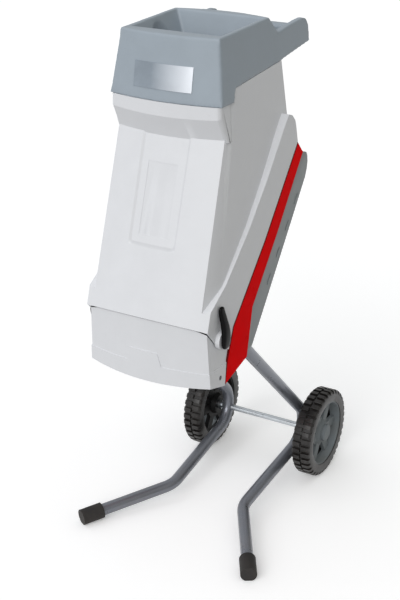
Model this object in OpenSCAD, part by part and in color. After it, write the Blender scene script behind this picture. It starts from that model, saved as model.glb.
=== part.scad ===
// Electric garden shredder: a hopper and feed housing tilt on an inclined cutter deck.
// A motor behind the deck turns the cutter, and a bent tube stand carries it all on two wheels.
// Millimetres, +Z up, front towards -Y, origin on the floor under the middle of the outline.
// Corner points are [y, z]: y is counted from the axle, minus to the front, and z from the floor.

/* [Wheels] */
// Radius of a wheel over the tread
wheel_r = 90; // [80:1:100]
// Width of a wheel
wheel_w = 40; // [34:1:46]
// Distance from the middle to a wheel's inner face
wheel_x = 105; // [103:1:115]
// Radius of the rim under the tyre
rim_r = 66; // [58:1:72]
// Radius of the hub
hub_r = 19; // [17:1:24]
// Radius of the axle rod
axle_r = 6; // [5:0.5:7]
// Wall of the bush in a hub
bush_wall = 3; // [2:0.5:4]
// Depth of the tread grooves
tread_depth = 4; // [2:0.5:6]
// Number of tread blocks in one row
tread_count = 24; // [16:1:32]
// Number of windows in a rim
window_count = 6; // [4:1:8]
// Width of a spoke between two windows
spoke_w = 18; // [12:1:22]

/* [Frame] */
// Outer radius of the frame tube
tube_r = 11.5; // [10:0.5:12.5]
// Wall of the frame tube
tube_wall = 1.5; // [1:0.25:3]
// Distance from the middle to the upper run of a tube
tube_x = 87; // [82:1:90]
// Slope of the upper run, in degrees
tube_rise = 44; // [40:0.5:47]
// Slope of the lower run, in degrees
tube_fall = 8; // [7:0.5:9]
// Bend radius of a tube at the axle
tube_bend_r = 48; // [40:1:55]
// Distance from the middle to the bend on the floor side
floor_x = 78; // [70:1:84]
// Distance in front of the axle of that bend
floor_reach = 238; // [210:1:260]
// Bend radius of a tube on the floor side
floor_bend_r = 60; // [45:1:80]
// Distance from the middle to the end of a foot
foot_x = 181; // [160:1:200]
// Distance in front of the axle of the end of a foot
foot_reach = 407; // [380:1:430]
// Height of the middle of a foot's end
foot_z = 14; // [13:0.5:16]
// Radius of a foot cap
cap_r = 15.3; // [15:0.1:17]
// Length of a foot cap
cap_length = 43; // [35:1:55]
// Radius of the frame bolts
bolt_r = 3; // [2.5:0.5:4]

/* [Shells] */
// Width of the flared housing
body_w = 237; // [231:1:245]
// Wall of the moulded shells
wall = 3.5; // [2.5:0.25:4]
// Wall of the sloping front panel
front_wall = 5.5; // [5:0.25:7]
// Radius of the crowned front, seen from above
crown_r = 400; // [360:5:480]
// Joint line between two shells
part_gap = 1; // [0.6:0.1:1.6]
// Joint line at the seam of the housing and the guard
seam_gap = 0.6; // [0.5:0.1:1]
// Clearance of pieces that are seated in one another
seat_gap = 0.2; // [0.1:0.05:0.4]
// Running clearance of shafts and pins
run_gap = 0.05; // [0.02:0.01:0.09]

/* [Upper housing] */
// Width of the chute under the collar
chute_top_w = 208; // [200:1:212]
// Width of the chute at the seam
chute_low_w = 230; // [222:1:230]
// Top of the front panel in the middle, in front of the axle
panel_reach = 375.5; // [370:0.5:380]
// Drop from the hopper's lower edge to the top of the front panel
panel_drop = 58; // [52:0.5:64]
// Foot of the front panel in the middle
panel_foot = [-467, 489]; // [-1000:0.5:1000]
// Depth of the recess in the front panel
recess_depth = 2; // [1:0.1:2.6]
// Width of the recess's sloping edge
recess_slope = 4.5; // [2:0.5:8]
// Half width of the recess
recess_x = 45; // [35:1:60]
// Half width of the pad in the recess
pad_x = 28; // [20:1:32]
// Step of the pad in the recess
pad_depth = 0.6; // [0.3:0.1:1.2]
// Height of the upright band of the collar
collar_h = 23; // [15:1:30]
// Corner where the flare leaves the front
flare_front = [-441, 521]; // [-1000:1:1000]
// Top of the flare
flare_top = [-168, 789]; // [-1000:1:1000]

/* [Hopper] */
// Height of the hopper's lower edge at the front
hopper_z = 846; // [840:1:860]
// Height of the hopper's front up to the rim
hopper_h = 103.5; // [95:0.5:115]
// Lower front edge of the hopper in the middle, in front of the axle
hopper_reach = 393.6; // [385:0.2:400]
// Front edge of the rim in the middle, in front of the axle
rim_reach = 375; // [370:0.5:380]
// Width of the hopper at its lower edge
hopper_w = 210; // [206:1:216]
// Width of the hopper at the rim
rim_w = 183; // [178:1:190]
// Width of the flat rim
rim_flat = 8.5; // [6:0.5:11]
// Distance from the middle to the inner side of a handle arm
arm_x = 83; // [70:1:86]
// Radius of the throat and the feed chute
throat_r = 47; // [40:1:50]
// Sideways place of the throat, which feeds one side of the cutter
throat_x = -33; // [-36:1:-20]
// Distance of the throat in front of the axle
throat_reach = 272; // [264:1:280]
// Width of the plain plate on the hopper's front
plate_w = 108; // [80:1:130]
// Height of the plain plate
plate_h = 40; // [30:1:50]
// Thickness of the plain plate
plate_thick = 1.2; // [0.8:0.1:2]
// Middle of the plain plate above the hopper's lower edge
plate_up = 39; // [32:1:60]

/* [Cutter deck] */
// Tilt of the deck
deck_tilt = 50; // [49:0.5:51]
// Middle of the deck's front edge, on the cutter's axis
deck_mid = [-248, 587]; // [-1000:1:1000]
// Wall of the deck
deck_wall = 4; // [3:0.25:5]
// Distance from the deck's front edge down to its plate
plate_depth = 20; // [17:0.5:22]
// Length of a tube socket behind the plate
socket_length = 50; // [44:1:54]
// Wall of a tube socket
socket_wall = 5.5; // [4:0.5:6]
// Depth that the motor dome stands out of the deck
dome_depth = 142; // [138:1:150]
// Radius of the motor dome
dome_r = 64; // [61:1:68]

/* [Motor and cutter] */
// Radius of the motor can
can_r = 48; // [45:1:50]
// Length of the motor can
can_length = 102; // [98:1:106]
// Radius of the motor shaft
shaft_r = 6; // [5:0.5:7]
// Outer radius of a bearing
bearing_r = 16; // [14:1:18]
// Width of a bearing
bearing_w = 10; // [8:0.5:11]
// Radius of the cutter disc
disc_r = 100; // [90:1:104]
// Thickness of the cutter disc
disc_thick = 6; // [4:0.5:7]
// Thickness of a blade
blade_thick = 3; // [2:0.25:3.5]

/* [Levers and controls] */
// Pivot of a lock lever
lever_pivot = [-407, 463]; // [-1000:1:1000]
// Length of a lever from its pivot to its tip
lever_length = 60; // [52:1:75]
// Lean of a lever to the front
lever_lean = 2; // [0:0.1:20]
// Radius of a lever's boss
lever_r = 13; // [11:0.5:15]
// Radius of a lever's stud
stud_r = 4; // [3:0.25:5]
// Height of the pad under a lever
lever_pad = 7.5; // [5:0.5:9]
// Radius of the hinge pin
hinge_r = 4; // [3:0.25:5]
// Height of the switch panel
panel_h = 52; // [48:1:56]
// Width of the switch panel
panel_w = 146; // [140:1:156]
// Travel of the push buttons
button_travel = 3.5; // [2:0.25:5]

/* [Hidden] */
$fn = 64;

far = 600;
// A line in front of every crowned face near the seam
fore = -490;
// How far a hollow runs past an open side
spare = 2;
// Heights at the upper end, which all follow the hopper's lower edge
rim_z = hopper_z + hopper_h;
collar_z = hopper_z - collar_h;
panel_top = [-panel_reach, hopper_z - panel_drop];

deck_w = body_w - 1;
cover_w = body_w - 3;

// Corners of the deck's side, which the neighbouring shells share
deck_top = [-130, 731];
deck_kink = [-360, 468];
deck_shin = [-381, 414];
deck_tip = [-389, 369];
deck_heel = [-308, 389];
deck_calf = [-290, 477];
deck_back = [-198, 588];
deck_crest = [-107, 707];
deck_side = [deck_tip, deck_heel, deck_calf, deck_back, deck_crest, deck_top, deck_mid, deck_kink, deck_shin];

// Seam between the upper housing and the lower guard
seam_corner = [-446, 489];
seam_slope = -0.5;
seam_bend = [-413, 452];
seam_under = [-404, 445];
seam_rear = on_edge(deck_kink, deck_shin, 431);

// Hinge of the upper housing
hinge = deck_top + [12, 7];
knuckle_r = hinge_r + 4;

// The axle stands where the outline's middle falls on the origin
front_reach = -meet(panel_foot, panel_top - panel_foot, seam_corner, [1, seam_slope]).x;
axle_y = (front_reach - wheel_r) / 2;

function unit(v) = v / norm(v);
function meet(p, d, q, e) = p + d * cross(q - p, e) / cross(d, e);
function on_edge(a, b, z) = a + (b - a) * (z - a.y) / (b.y - a.y);

// A closed outline, anticlockwise, with edge i moved inwards by gaps[i]
function inset(pts, gaps) = let(n = len(pts)) [
    for (i = [0 : n - 1])
        let(
            b = pts[i],
            h = (i + n - 1) % n,
            d = unit(b - pts[h]),
            e = unit(pts[(i + 1) % n] - b)
        )
        meet(b + gaps[h] * [-d.y, d.x], d, b + gaps[i] * [-e.y, e.x], e)
];

// Gaps for a hollow: closed edges keep a wall, open ones run past the outline
function hollow(w, open) = [for (o = open) w == 0 ? 0 : (o ? -spare : w)];

function deck_u(p) = (p - deck_mid) * [cos(deck_tilt), sin(deck_tilt)];
function deck_v(p) = (p - deck_mid) * [-sin(deck_tilt), cos(deck_tilt)];
function lift(x, p) = [x, p.x, p.y];

module from_axle() {
    translate([0, axle_y, 0])
        children();
}

// Deck frame: y runs up the deck and z stands out of it, up and to the front
module on_deck() {
    translate([0, deck_mid.x, deck_mid.y])
        rotate([deck_tilt, 0, 0])
            children();
}

module both_sides() {
    children();
    mirror([1, 0, 0])
        children();
}

module side_slab(pts, w) {
    rotate([90, 0, 90])
        linear_extrude(w, center = true)
            polygon(pts);
}

module front_slab(pts) {
    rotate([90, 0, 0])
        linear_extrude(4 * far, center = true)
            polygon(pts);
}

// A round bar along X between two distances from the middle
module cross_rod(p, r, from, to) {
    translate([from, p.x, p.y])
        rotate([0, 90, 0])
            cylinder(r = r, h = to - from);
}

// The crowned front: a wide cylinder whose foremost line runs from low to high
module crown(low, high, depth = 0, side = 1) {
    lean = atan2(high.x - low.x, high.y - low.y);
    translate([0, low.x, low.y])
        rotate([-lean, 0, 0])
            translate([0, side * crown_r, -far])
                cylinder(r = crown_r - depth, h = 2 * far, $fn = 360);
}

// A rigid placement with its z axis along z and its x axis near x
module facing(at, z, x) {
    c = unit(z);
    b = unit(cross(c, x));
    a = cross(b, c);
    multmatrix([
        [a.x, b.x, c.x, at.x],
        [a.y, b.y, c.y, at.y],
        [a.z, b.z, c.z, at.z],
        [0, 0, 0, 1]
    ])
        children();
}

module screw(r, length, head_r, head_h) {
    cylinder(r = head_r, h = head_h);
    translate([0, 0, -length])
        cylinder(r = r, h = length);
}

/* Frame tubes: an upper run, a bend round the axle, a lower run, a bend and a splayed foot */
axle_mid = [0, wheel_r];
run_up = [-cos(tube_rise), sin(tube_rise)];
run_low = [-cos(tube_fall), -sin(tube_fall)];
bend_half = (180 - tube_rise - tube_fall) / 2;
bend_corner = axle_mid - unit(run_up + run_low) * tube_bend_r * (1 / cos(bend_half) - 1);
plate_back = plate_depth + deck_wall;
tube_end_gap = seat_gap + tube_r * abs(tan(tube_rise + deck_tilt - 90));
run_climb = (-plate_back - tube_end_gap - deck_v(bend_corner)) / (run_up * [-sin(deck_tilt), cos(deck_tilt)]);
tube_top = bend_corner + run_up * run_climb;
floor_drop = (bend_corner.x + floor_reach) * tan(tube_fall);
tube_route = [
    lift(tube_x, tube_top),
    lift(tube_x, bend_corner),
    [floor_x, -floor_reach, bend_corner.y - floor_drop],
    [foot_x, -foot_reach, foot_z]
];
tube_bends = [0, tube_bend_r, floor_bend_r, 0];
cap_end = 5;

// A bend is drawn a little thinner than the runs and reaches a little way into their wall
bend_thin = 0.05;
bend_lap = 1.5;

function heading(i) = unit(tube_route[i + 1] - tube_route[i]);
function turn(i) = acos(heading(i - 1) * heading(i));
function bend_trim(i) = tube_bends[i] == 0 ? 0 : tube_bends[i] * tan(turn(i) / 2);

module tube_ring(thin) {
    difference() {
        circle(r = tube_r - thin);
        circle(r = tube_r - tube_wall + thin);
    }
}

module frame_tube() {
    for (i = [0 : 2]) {
        from = tube_route[i] + heading(i) * bend_trim(i);
        to = tube_route[i + 1] - heading(i) * (i == 2 ? cap_end : bend_trim(i + 1));
        facing(from, to - from, [1, 0, 0])
            linear_extrude(norm(to - from))
                tube_ring(0);
    }
    for (i = [1, 2]) {
        lap = bend_lap / tube_bends[i] * 180 / PI;
        start = tube_route[i] - heading(i - 1) * bend_trim(i);
        spin = cross(heading(i - 1), heading(i));
        inward = unit(cross(spin, heading(i - 1)));
        facing(start + inward * tube_bends[i], spin, -inward)
            rotate([0, 0, -lap])
                rotate_extrude(angle = turn(i) + 2 * lap)
                    translate([tube_bends[i], 0])
                        tube_ring(bend_thin);
    }
}

bolt_at = tube_top - run_up * (socket_length / 2);

module frame_tube_right() {
    color("#83868d")
        from_axle()
            difference() {
                frame_tube();
                cross_rod(axle_mid, axle_r + run_gap, wheel_x - 60, wheel_x);
                cross_rod(bolt_at, bolt_r + run_gap, tube_x - 20, tube_x + 20);
            }
}

module frame_tube_left() {
    mirror([1, 0, 0])
        frame_tube_right();
}

module frame_bolts() {
    color("silver")
        from_axle()
            both_sides() {
                head = tube_x - tube_r - socket_wall - seat_gap;
                cross_rod(bolt_at, bolt_r, head, tube_x + tube_r + socket_wall + 7);
                translate([head - 5, bolt_at.x, bolt_at.y])
                    rotate([0, 90, 0])
                        cylinder(r = 2 * bolt_r, h = 5, $fn = 6);
            }
}

module frame_nuts() {
    color("silver")
        from_axle()
            both_sides()
                translate([tube_x + tube_r + socket_wall + seat_gap, bolt_at.x, bolt_at.y])
                    rotate([0, 90, 0])
                        difference() {
                            cylinder(r = 2 * bolt_r, h = 5, $fn = 6);
                            translate([0, 0, -1])
                                cylinder(r = bolt_r + run_gap, h = 7);
                        }
}

module foot_cap_right() {
    color("#282524")
        from_axle()
            difference() {
                facing(tube_route[3], -heading(2), [0, 0, 1])
                    difference() {
                        cylinder(r = cap_r, h = cap_length);
                        translate([0, 0, cap_end - run_gap])
                            cylinder(r = tube_r + run_gap, h = cap_length);
                    }
                translate([-far, -far, -far])
                    cube([2 * far, 2 * far, far]);
            }
}

module foot_cap_left() {
    mirror([1, 0, 0])
        foot_cap_right();
}

/* Wheels */
hub_out = wheel_x + wheel_w - 8;
axle_end = hub_out + 3;
clip_w = 1.5;

module axle() {
    color("#c3ccd2")
        from_axle()
            difference() {
                cross_rod(axle_mid, axle_r, -axle_end, axle_end);
                translate([0, axle_mid.x, axle_mid.y])
                    rotate([45, 0, 0])
                        cylinder(r = axle_r / 3, h = 3 * axle_r, center = true);
            }
}

module axle_spacers() {
    color("#b9bdc2")
        from_axle()
            both_sides()
                difference() {
                    cross_rod(axle_mid, axle_r + 4, tube_x + tube_r + seat_gap, wheel_x + 1 - seat_gap);
                    cross_rod(axle_mid, axle_r + run_gap, tube_x, wheel_x + 2);
                }
}

module wheel_clips() {
    color("#b9bdc2")
        from_axle()
            both_sides()
                difference() {
                    cross_rod(axle_mid, axle_r + 4, hub_out + seat_gap, hub_out + seat_gap + clip_w);
                    cross_rod(axle_mid, axle_r + run_gap, hub_out - 1, hub_out + 4);
                }
}

module wheel_turn() {
    from_axle()
        translate([wheel_x, axle_mid.x, axle_mid.y])
            rotate([0, 90, 0])
                children();
}

web_in = 10;
web_out = 26;
rim_lip = 6;

module rim_spokes(from, to) {
    for (i = [1 : window_count])
        rotate([0, 0, (i + 0.5) * 360 / window_count])
            translate([hub_r - 2, -spoke_w / 2, from])
                cube([rim_r - rim_lip - hub_r + 2, spoke_w, to - from]);
}

module rim_windows() {
    low = hub_r + 13;
    high = rim_r - rim_lip - 2;
    difference() {
        rotate_extrude()
            polygon([[low, 0], [high, 0], [high, wheel_w], [low, wheel_w]]);
        rim_spokes(-1, wheel_w + 1);
    }
}

module rim_right() {
    color("#6f777b")
        wheel_turn()
            difference() {
                union() {
                    rotate_extrude()
                        polygon([
                            [axle_r + bush_wall + run_gap, 1],
                            [hub_r, 1],
                            [hub_r + 4, web_in],
                            [rim_r - rim_lip, web_in],
                            [rim_r - rim_lip + 2, 3],
                            [rim_r, 3],
                            [rim_r, wheel_w - 3],
                            [rim_r - rim_lip + 3, wheel_w - 3],
                            [rim_r - rim_lip, web_out - 6],
                            [hub_r + 9, web_out - 2],
                            [hub_r, hub_out - wheel_x],
                            [axle_r + bush_wall + run_gap, hub_out - wheel_x]
                        ]);
                    rim_spokes(web_out - 6, web_out);
                }
                rim_windows();
            }
}

module tyre_right() {
    step = 360 / tread_count;
    color("#2d2826")
        wheel_turn()
            difference() {
                rotate_extrude()
                    polygon([
                        [rim_r, 1.5],
                        [wheel_r - 14, 0],
                        [wheel_r - 4, 1.5],
                        [wheel_r, 5],
                        [wheel_r, wheel_w / 2 - 1.5],
                        [wheel_r - tread_depth, wheel_w / 2 - 1],
                        [wheel_r - tread_depth, wheel_w / 2 + 1],
                        [wheel_r, wheel_w / 2 + 1.5],
                        [wheel_r, wheel_w - 5],
                        [wheel_r - 4, wheel_w - 1.5],
                        [wheel_r - 14, wheel_w],
                        [rim_r, wheel_w - 1.5]
                    ]);
                for (i = [1 : tread_count], row = [0, 1])
                    rotate([0, 0, (i + row / 2) * step])
                        translate([wheel_r - tread_depth, -2, row * wheel_w / 2 - 1])
                            cube([2 * tread_depth, 4, wheel_w / 2 + 2 * (1 - row) - 1]);
            }
}

module wheel_bush_right() {
    color("#d8d8d2")
        wheel_turn()
            difference() {
                translate([0, 0, 1.5])
                    cylinder(r = axle_r + bush_wall, h = hub_out - wheel_x - 1.8);
                cylinder(r = axle_r + run_gap, h = wheel_w);
            }
}

module hub_cap_right() {
    foot = hub_out - wheel_x;
    color("#6f777b")
        wheel_turn()
            rotate_extrude()
                polygon([
                    [axle_r + 6, foot],
                    [hub_r - 1, foot],
                    [hub_r - 2, foot + 6],
                    [hub_r - 6, foot + 7.5],
                    [0, foot + 7.5],
                    [0, foot + 4.5],
                    [axle_r + 6, foot + 4.5]
                ]);
}

module rim_left() {
    mirror([1, 0, 0])
        rim_right();
}

module tyre_left() {
    mirror([1, 0, 0])
        tyre_right();
}

module wheel_bush_left() {
    mirror([1, 0, 0])
        wheel_bush_right();
}

module hub_cap_left() {
    mirror([1, 0, 0])
        hub_cap_right();
}

/* Cutter deck */
deck_in = deck_w / 2 - deck_wall;
guard_screw = [-404, 390];
screw_r = 2;
motor_screw_r = 52;
cover_posts = [for (u = [-118, 20, 140], s = [-1, 1]) [s * 95, u]];
ear_out = body_w / 2 - wall - 3 * part_gap;
ear_in = ear_out - 5;
ear_r = stud_r + 5.5;
lock_travel = unit([hinge.y - lever_pivot.y, lever_pivot.x - hinge.x] * -1);
guard_in = body_w / 2 - wall;

module deck_front_room() {
    on_deck()
        translate([-deck_in, -far, -plate_depth])
            cube([2 * deck_in, far + deck_u(deck_top) - deck_wall, far]);
}

module deck_back_room() {
    intersection() {
        side_slab(inset(deck_side, hollow(deck_wall, [for (i = [0 : 8]) i != 0 && i != 4])), 2 * deck_in);
        on_deck()
            translate([-far, -far, -far - plate_back])
                cube([2 * far, 2 * far, far]);
    }
}

module tube_sockets(r, from, length) {
    both_sides()
        facing(lift(tube_x, tube_top + run_up * from), -lift(0, run_up), [1, 0, 0])
            cylinder(r = r, h = length);
}

// An ear inside the shells that holds a lever's stud in a slot open to the housing's way out
module lock_outline() {
    slot = stud_r + 0.6;
    way = stud_r + 0.4;
    difference() {
        union() {
            translate(lever_pivot)
                circle(r = ear_r);
            polygon([
                lever_pivot + [2, ear_r - 1],
                lever_pivot + [-2, 1 - ear_r],
                deck_shin + [3, 4],
                deck_shin + [24, 22],
                deck_kink + [10, -4]
            ]);
        }
        translate(lever_pivot) {
            circle(r = slot);
            rotate([0, 0, atan2(lock_travel.y, lock_travel.x)])
                polygon([[0, -way], [40, -way], [40, way], [0, way]]);
        }
    }
}

module lock_ear() {
    translate([ear_in, 0, 0])
        rotate([90, 0, 90])
            linear_extrude(ear_out - ear_in)
                lock_outline();
    translate([ear_in, 0, 0])
        rotate([90, 0, 90])
            linear_extrude(deck_w / 2 - ear_in - 1)
                polygon([
                    deck_shin + [4, 4],
                    deck_shin + [24, 22],
                    deck_kink + [10, -4],
                    deck_kink + [1, -6]
                ]);
}

// An ear that the guard's side screw bites into
module guard_ear() {
    thick = guard_in - 0.5;
    difference() {
        union() {
            cross_rod(guard_screw, 7, thick - 7, thick);
            translate([thick - 7, guard_screw.x, guard_screw.y - 7])
                cube([7, deck_tip.x - guard_screw.x + 12, 14]);
            translate([thick - 7, deck_tip.x + 6, guard_screw.y - 7])
                cube([deck_w / 2 - thick + 5, 10, 14]);
        }
        cross_rod(guard_screw, screw_r + run_gap, 0, body_w);
    }
}

// Lugs at the top of the deck that hold the hinge pin
module deck_lugs() {
    both_sides()
        translate([58, 0, 0])
            rotate([90, 0, 90])
                linear_extrude(18)
                    union() {
                        translate(hinge)
                            circle(r = knuckle_r);
                        polygon([
                            hinge + [-knuckle_r, 0],
                            deck_top + [4, -7],
                            deck_crest + [-5, 2],
                            hinge + [knuckle_r, 0]
                        ]);
                    }
}

module cutter_deck() {
    color("#c41214")
        from_axle()
            difference() {
                union() {
                    difference() {
                        side_slab(deck_side, deck_w);
                        deck_front_room();
                        deck_back_room();
                    }
                    tube_sockets(tube_r + socket_wall, 3, socket_length + 3);
                    both_sides() {
                        lock_ear();
                        guard_ear();
                    }
                    deck_lugs();
                    on_deck()
                        for (p = cover_posts)
                            translate([p.x, p.y, -33])
                                cylinder(r = 5, h = 34 - plate_back);
                }
                tube_sockets(tube_r + run_gap, seat_gap / 2, socket_length + 5);
                both_sides()
                    cross_rod(bolt_at, bolt_r + run_gap, 0, deck_in - 2);
                cross_rod(hinge, hinge_r + run_gap, -body_w, body_w);
                on_deck() {
                    translate([0, 0, -plate_back - 1])
                        cylinder(r = shaft_r + 3, h = deck_wall + 2);
                    for (i = [0 : 3])
                        rotate([0, 0, 45 + 90 * i])
                            translate([motor_screw_r, 0, -plate_back - 1])
                                cylinder(r = 2.5 + run_gap, h = deck_wall + 2);
                    for (p = cover_posts)
                        translate([p.x, p.y, -34])
                            cylinder(r = screw_r + run_gap, h = 9);
                }
            }
}

module hinge_pin() {
    color("silver")
        from_axle()
            cross_rod(hinge, hinge_r, -97, 97);
}

module guard_screws() {
    color("#3a3a3c")
        from_axle()
            both_sides()
                translate([guard_in + 2.1, guard_screw.x, guard_screw.y])
                    rotate([0, 90, 0])
                        screw(screw_r, 10, 3.6, 1.8);
}

/* Motor cover */
cover_low = [-258, 386];
cover_crest = [-113, 666];
cover_crest_r = 43;
cover_arc = [for (a = [-22 : 20 : 60]) cover_crest + cover_crest_r * [cos(a), sin(a)]];
cover_side = concat([deck_heel, cover_low], cover_arc, [deck_crest, deck_back, deck_calf]);
cover_face = [
    [-100, -130], [100, -130], [107, -100], [cover_w / 2, -45],
    [cover_w / 2, 60], [-cover_w / 2, 60], [-cover_w / 2, -45], [-107, -100]
];
back_tilt = atan2(cover_arc[0].y - cover_low.y, cover_arc[0].x - cover_low.x);
back_mid = cover_low + (cover_arc[0] - cover_low) * 0.83;
function back_v(u) =
    let(a = cover_low, b = cover_arc[0], share = (u - deck_u(a)) / (deck_u(b) - deck_u(a)))
    deck_v(a) + share * (deck_v(b) - deck_v(a));
dome_wall = 3;
vent_count = 14;

module on_back() {
    translate([0, back_mid.x, back_mid.y])
        rotate([back_tilt, 0, 0])
            children();
}

module cover_form(w) {
    edges = len(cover_side);
    gaps = [for (i = [0 : edges - 1]) i < edges - 4 ? w : (w == 0 ? seat_gap : -spare)];
    intersection() {
        side_slab(inset(cover_side, gaps), 2 * far);
        on_deck()
            front_slab(inset(cover_face, hollow(w, [false, false, false, false, true, false, false, false])));
    }
}

module cover_dome(r, depth, top) {
    on_deck()
        translate([0, 0, -depth])
            cylinder(r = r, h = depth - top);
}

module cover_post_holes(r, from, to) {
    on_deck()
        for (p = cover_posts)
            translate([p.x, p.y, from])
                cylinder(r = r, h = to - from);
}

module motor_cover() {
    color("#787e7e")
        from_axle()
            difference() {
                union() {
                    difference() {
                        union() {
                            cover_form(0);
                            cover_dome(dome_r, dome_depth, 98);
                        }
                        cover_form(wall);
                        cover_dome(dome_r - dome_wall, dome_depth - dome_wall, 80);
                    }
                    on_deck()
                        for (p = cover_posts)
                            translate([p.x, p.y, back_v(p.y) + 1.7])
                                cylinder(r = 6, h = -33 - seat_gap - back_v(p.y) - 1.7);
                }
                cover_post_holes(screw_r + 0.4, -150, 0);
                cover_post_holes(4.6, -150, -52);
                tube_sockets(tube_r + 0.6, 0, 260);
                on_back()
                    translate([-panel_w / 2 + 6, -panel_h / 2 + 6, -5])
                        cube([panel_w - 12, panel_h - 12, 20]);
                on_deck()
                    for (i = [1 : vent_count])
                        rotate([0, 0, i * 360 / vent_count])
                            translate([24, -2, -dome_depth - 1])
                                cube([30, 4, dome_wall + 2]);
            }
}

module cover_screws() {
    color("#3a3a3c")
        from_axle()
            on_deck()
                for (p = cover_posts)
                    translate([p.x, p.y, -52])
                        mirror([0, 0, 1])
                            screw(screw_r, 26, 4.2, 2.6);
}

/* Motor, in the deck frame, behind the plate */
can_top = -plate_back;
can_end = can_top - 4 - can_length;
can_wall = 2.5;
front_seat = can_top - 4;
rear_seat = can_end + 5;

module motor_can() {
    color("#55585c")
        from_axle()
            on_deck()
                difference() {
                    union() {
                        translate([0, 0, can_top - 4])
                            cylinder(r = motor_screw_r + 6, h = 4);
                        translate([0, 0, can_end])
                            cylinder(r = can_r, h = can_length + 4);
                    }
                    translate([0, 0, can_end + 4 + bearing_w])
                        cylinder(r = can_r - can_wall, h = can_length - 2 * bearing_w - 4);
                    translate([0, 0, rear_seat])
                        cylinder(r = bearing_r + run_gap, h = bearing_w + 2);
                    translate([0, 0, front_seat - bearing_w])
                        cylinder(r = bearing_r + run_gap, h = bearing_w + 5);
                    for (i = [0 : 3])
                        rotate([0, 0, 45 + 90 * i])
                            translate([motor_screw_r, 0, can_top - 5])
                                cylinder(r = 2.5 + run_gap, h = 6);
                }
}

module motor_screws() {
    color("silver")
        from_axle()
            on_deck()
                for (i = [0 : 3])
                    rotate([0, 0, 45 + 90 * i])
                        translate([motor_screw_r, 0, -plate_depth])
                            screw(2.5, deck_wall + 7, 4.5, 3);
}

module stator() {
    color("#8a5a34")
        from_axle()
            on_deck()
                translate([0, 0, -96])
                    difference() {
                        cylinder(r = can_r - can_wall - run_gap, h = 42);
                        translate([0, 0, -1])
                            cylinder(r = 28.5, h = 44);
                    }
}

module motor_bearings() {
    color("silver")
        from_axle()
            on_deck()
                for (z = [rear_seat, front_seat - bearing_w])
                    translate([0, 0, z])
                        difference() {
                            cylinder(r = bearing_r, h = bearing_w);
                            translate([0, 0, -1])
                                cylinder(r = shaft_r + run_gap, h = bearing_w + 2);
                        }
}

module motor_brushes() {
    color("#3c3c3c")
        from_axle()
            on_deck()
                both_sides()
                    translate([16.4, -4, -109])
                        cube([can_r - can_wall - 16.9, 8, 8]);
}

module motor_shaft() {
    color("#b9bdc2")
        from_axle()
            on_deck()
                difference() {
                    translate([0, 0, rear_seat])
                        cylinder(r = shaft_r, h = 2 - rear_seat);
                    translate([0, 0, -22])
                        cylinder(r = 3.5 + run_gap, h = 30);
                }
}

module armature() {
    color("#9a6a3c")
        from_axle()
            on_deck()
                translate([0, 0, -95])
                    difference() {
                        cylinder(r = 27.8, h = 40);
                        translate([0, 0, -1])
                            cylinder(r = shaft_r + run_gap, h = 42);
                    }
}

module commutator() {
    color("#b87333")
        from_axle()
            on_deck()
                translate([0, 0, -111])
                    difference() {
                        cylinder(r = 16, h = 13);
                        translate([0, 0, -1])
                            cylinder(r = shaft_r + run_gap, h = 15);
                    }
}

module cooling_fan() {
    color("#444444")
        from_axle()
            on_deck()
                translate([0, 0, -50])
                    difference() {
                        union() {
                            cylinder(r = 14, h = 8);
                            cylinder(r = 42, h = 2);
                            for (i = [1 : 9])
                                rotate([0, 0, 40 * i])
                                    translate([12, -1, 1])
                                        cube([29, 2, 7]);
                        }
                        translate([0, 0, -1])
                            cylinder(r = shaft_r + run_gap, h = 10);
                    }
}

/* Cutter, in the deck frame, in front of the plate */
disc_low = 2 - disc_thick;
blade_top = 2 + blade_thick;
blade_holes = [[46, 6], [74, 6]];

module each_blade() {
    for (s = [0, 180])
        rotate([0, 0, s + 25])
            children();
}

module cutter_disc() {
    color("#9aa0a5")
        from_axle()
            on_deck()
                difference() {
                    union() {
                        translate([0, 0, disc_low])
                            cylinder(r = disc_r, h = disc_thick);
                        translate([0, 0, disc_low - 10])
                            cylinder(r = 20, h = 11);
                    }
                    translate([0, 0, -20])
                        cylinder(r = shaft_r + run_gap, h = 30);
                    each_blade() {
                        translate([32, -22, disc_low - 1])
                            cube([56, 14, disc_thick + 2]);
                        for (h = blade_holes)
                            translate([h.x, h.y, disc_low - 1])
                                cylinder(r = 3 + run_gap, h = disc_thick + 2);
                    }
                }
}

module cutter_blades() {
    color("#c8ccd0")
        from_axle()
            on_deck()
                each_blade()
                    translate([0, 0, 2])
                        difference() {
                            linear_extrude(blade_thick)
                                polygon([[30, 18], [30, -12], [90, -12], [90, 18]]);
                            for (h = blade_holes)
                                translate([h.x, h.y, -1]) {
                                    cylinder(r = 3 + run_gap, h = blade_thick + 2);
                                    translate([0, 0, blade_thick - 0.5])
                                        cylinder(r = 5 + run_gap, h = 3);
                                }
                            translate([0, -12, blade_thick])
                                rotate([-30, 0, 0])
                                    translate([0, -8, -0.5])
                                        cube([100, 8, 8]);
                        }
}

module blade_screws() {
    color("#6f7478")
        from_axle()
            on_deck()
                each_blade()
                    for (h = blade_holes)
                        translate([h.x, h.y, blade_top - 1.5])
                            screw(3, blade_thick + disc_thick - 1, 5, 1.4);
}

module disc_bolt() {
    color("#6f7478")
        from_axle()
            on_deck()
                translate([0, 0, 2]) {
                    cylinder(r = 14, h = 2);
                    translate([0, 0, 1])
                        cylinder(r = 8, h = 6, $fn = 6);
                    translate([0, 0, -20])
                        cylinder(r = 3.5, h = 21);
                }
}

/* Feed chute with the lid over the cutter, in the upper housing */
lid_low = 10;
lid_thick = 3;
chute_wall = 3;
pipe_low = 400;
throat = [-throat_reach, hopper_z - 1];
counter_x = throat_x + throat_r + chute_wall + 2;

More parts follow.
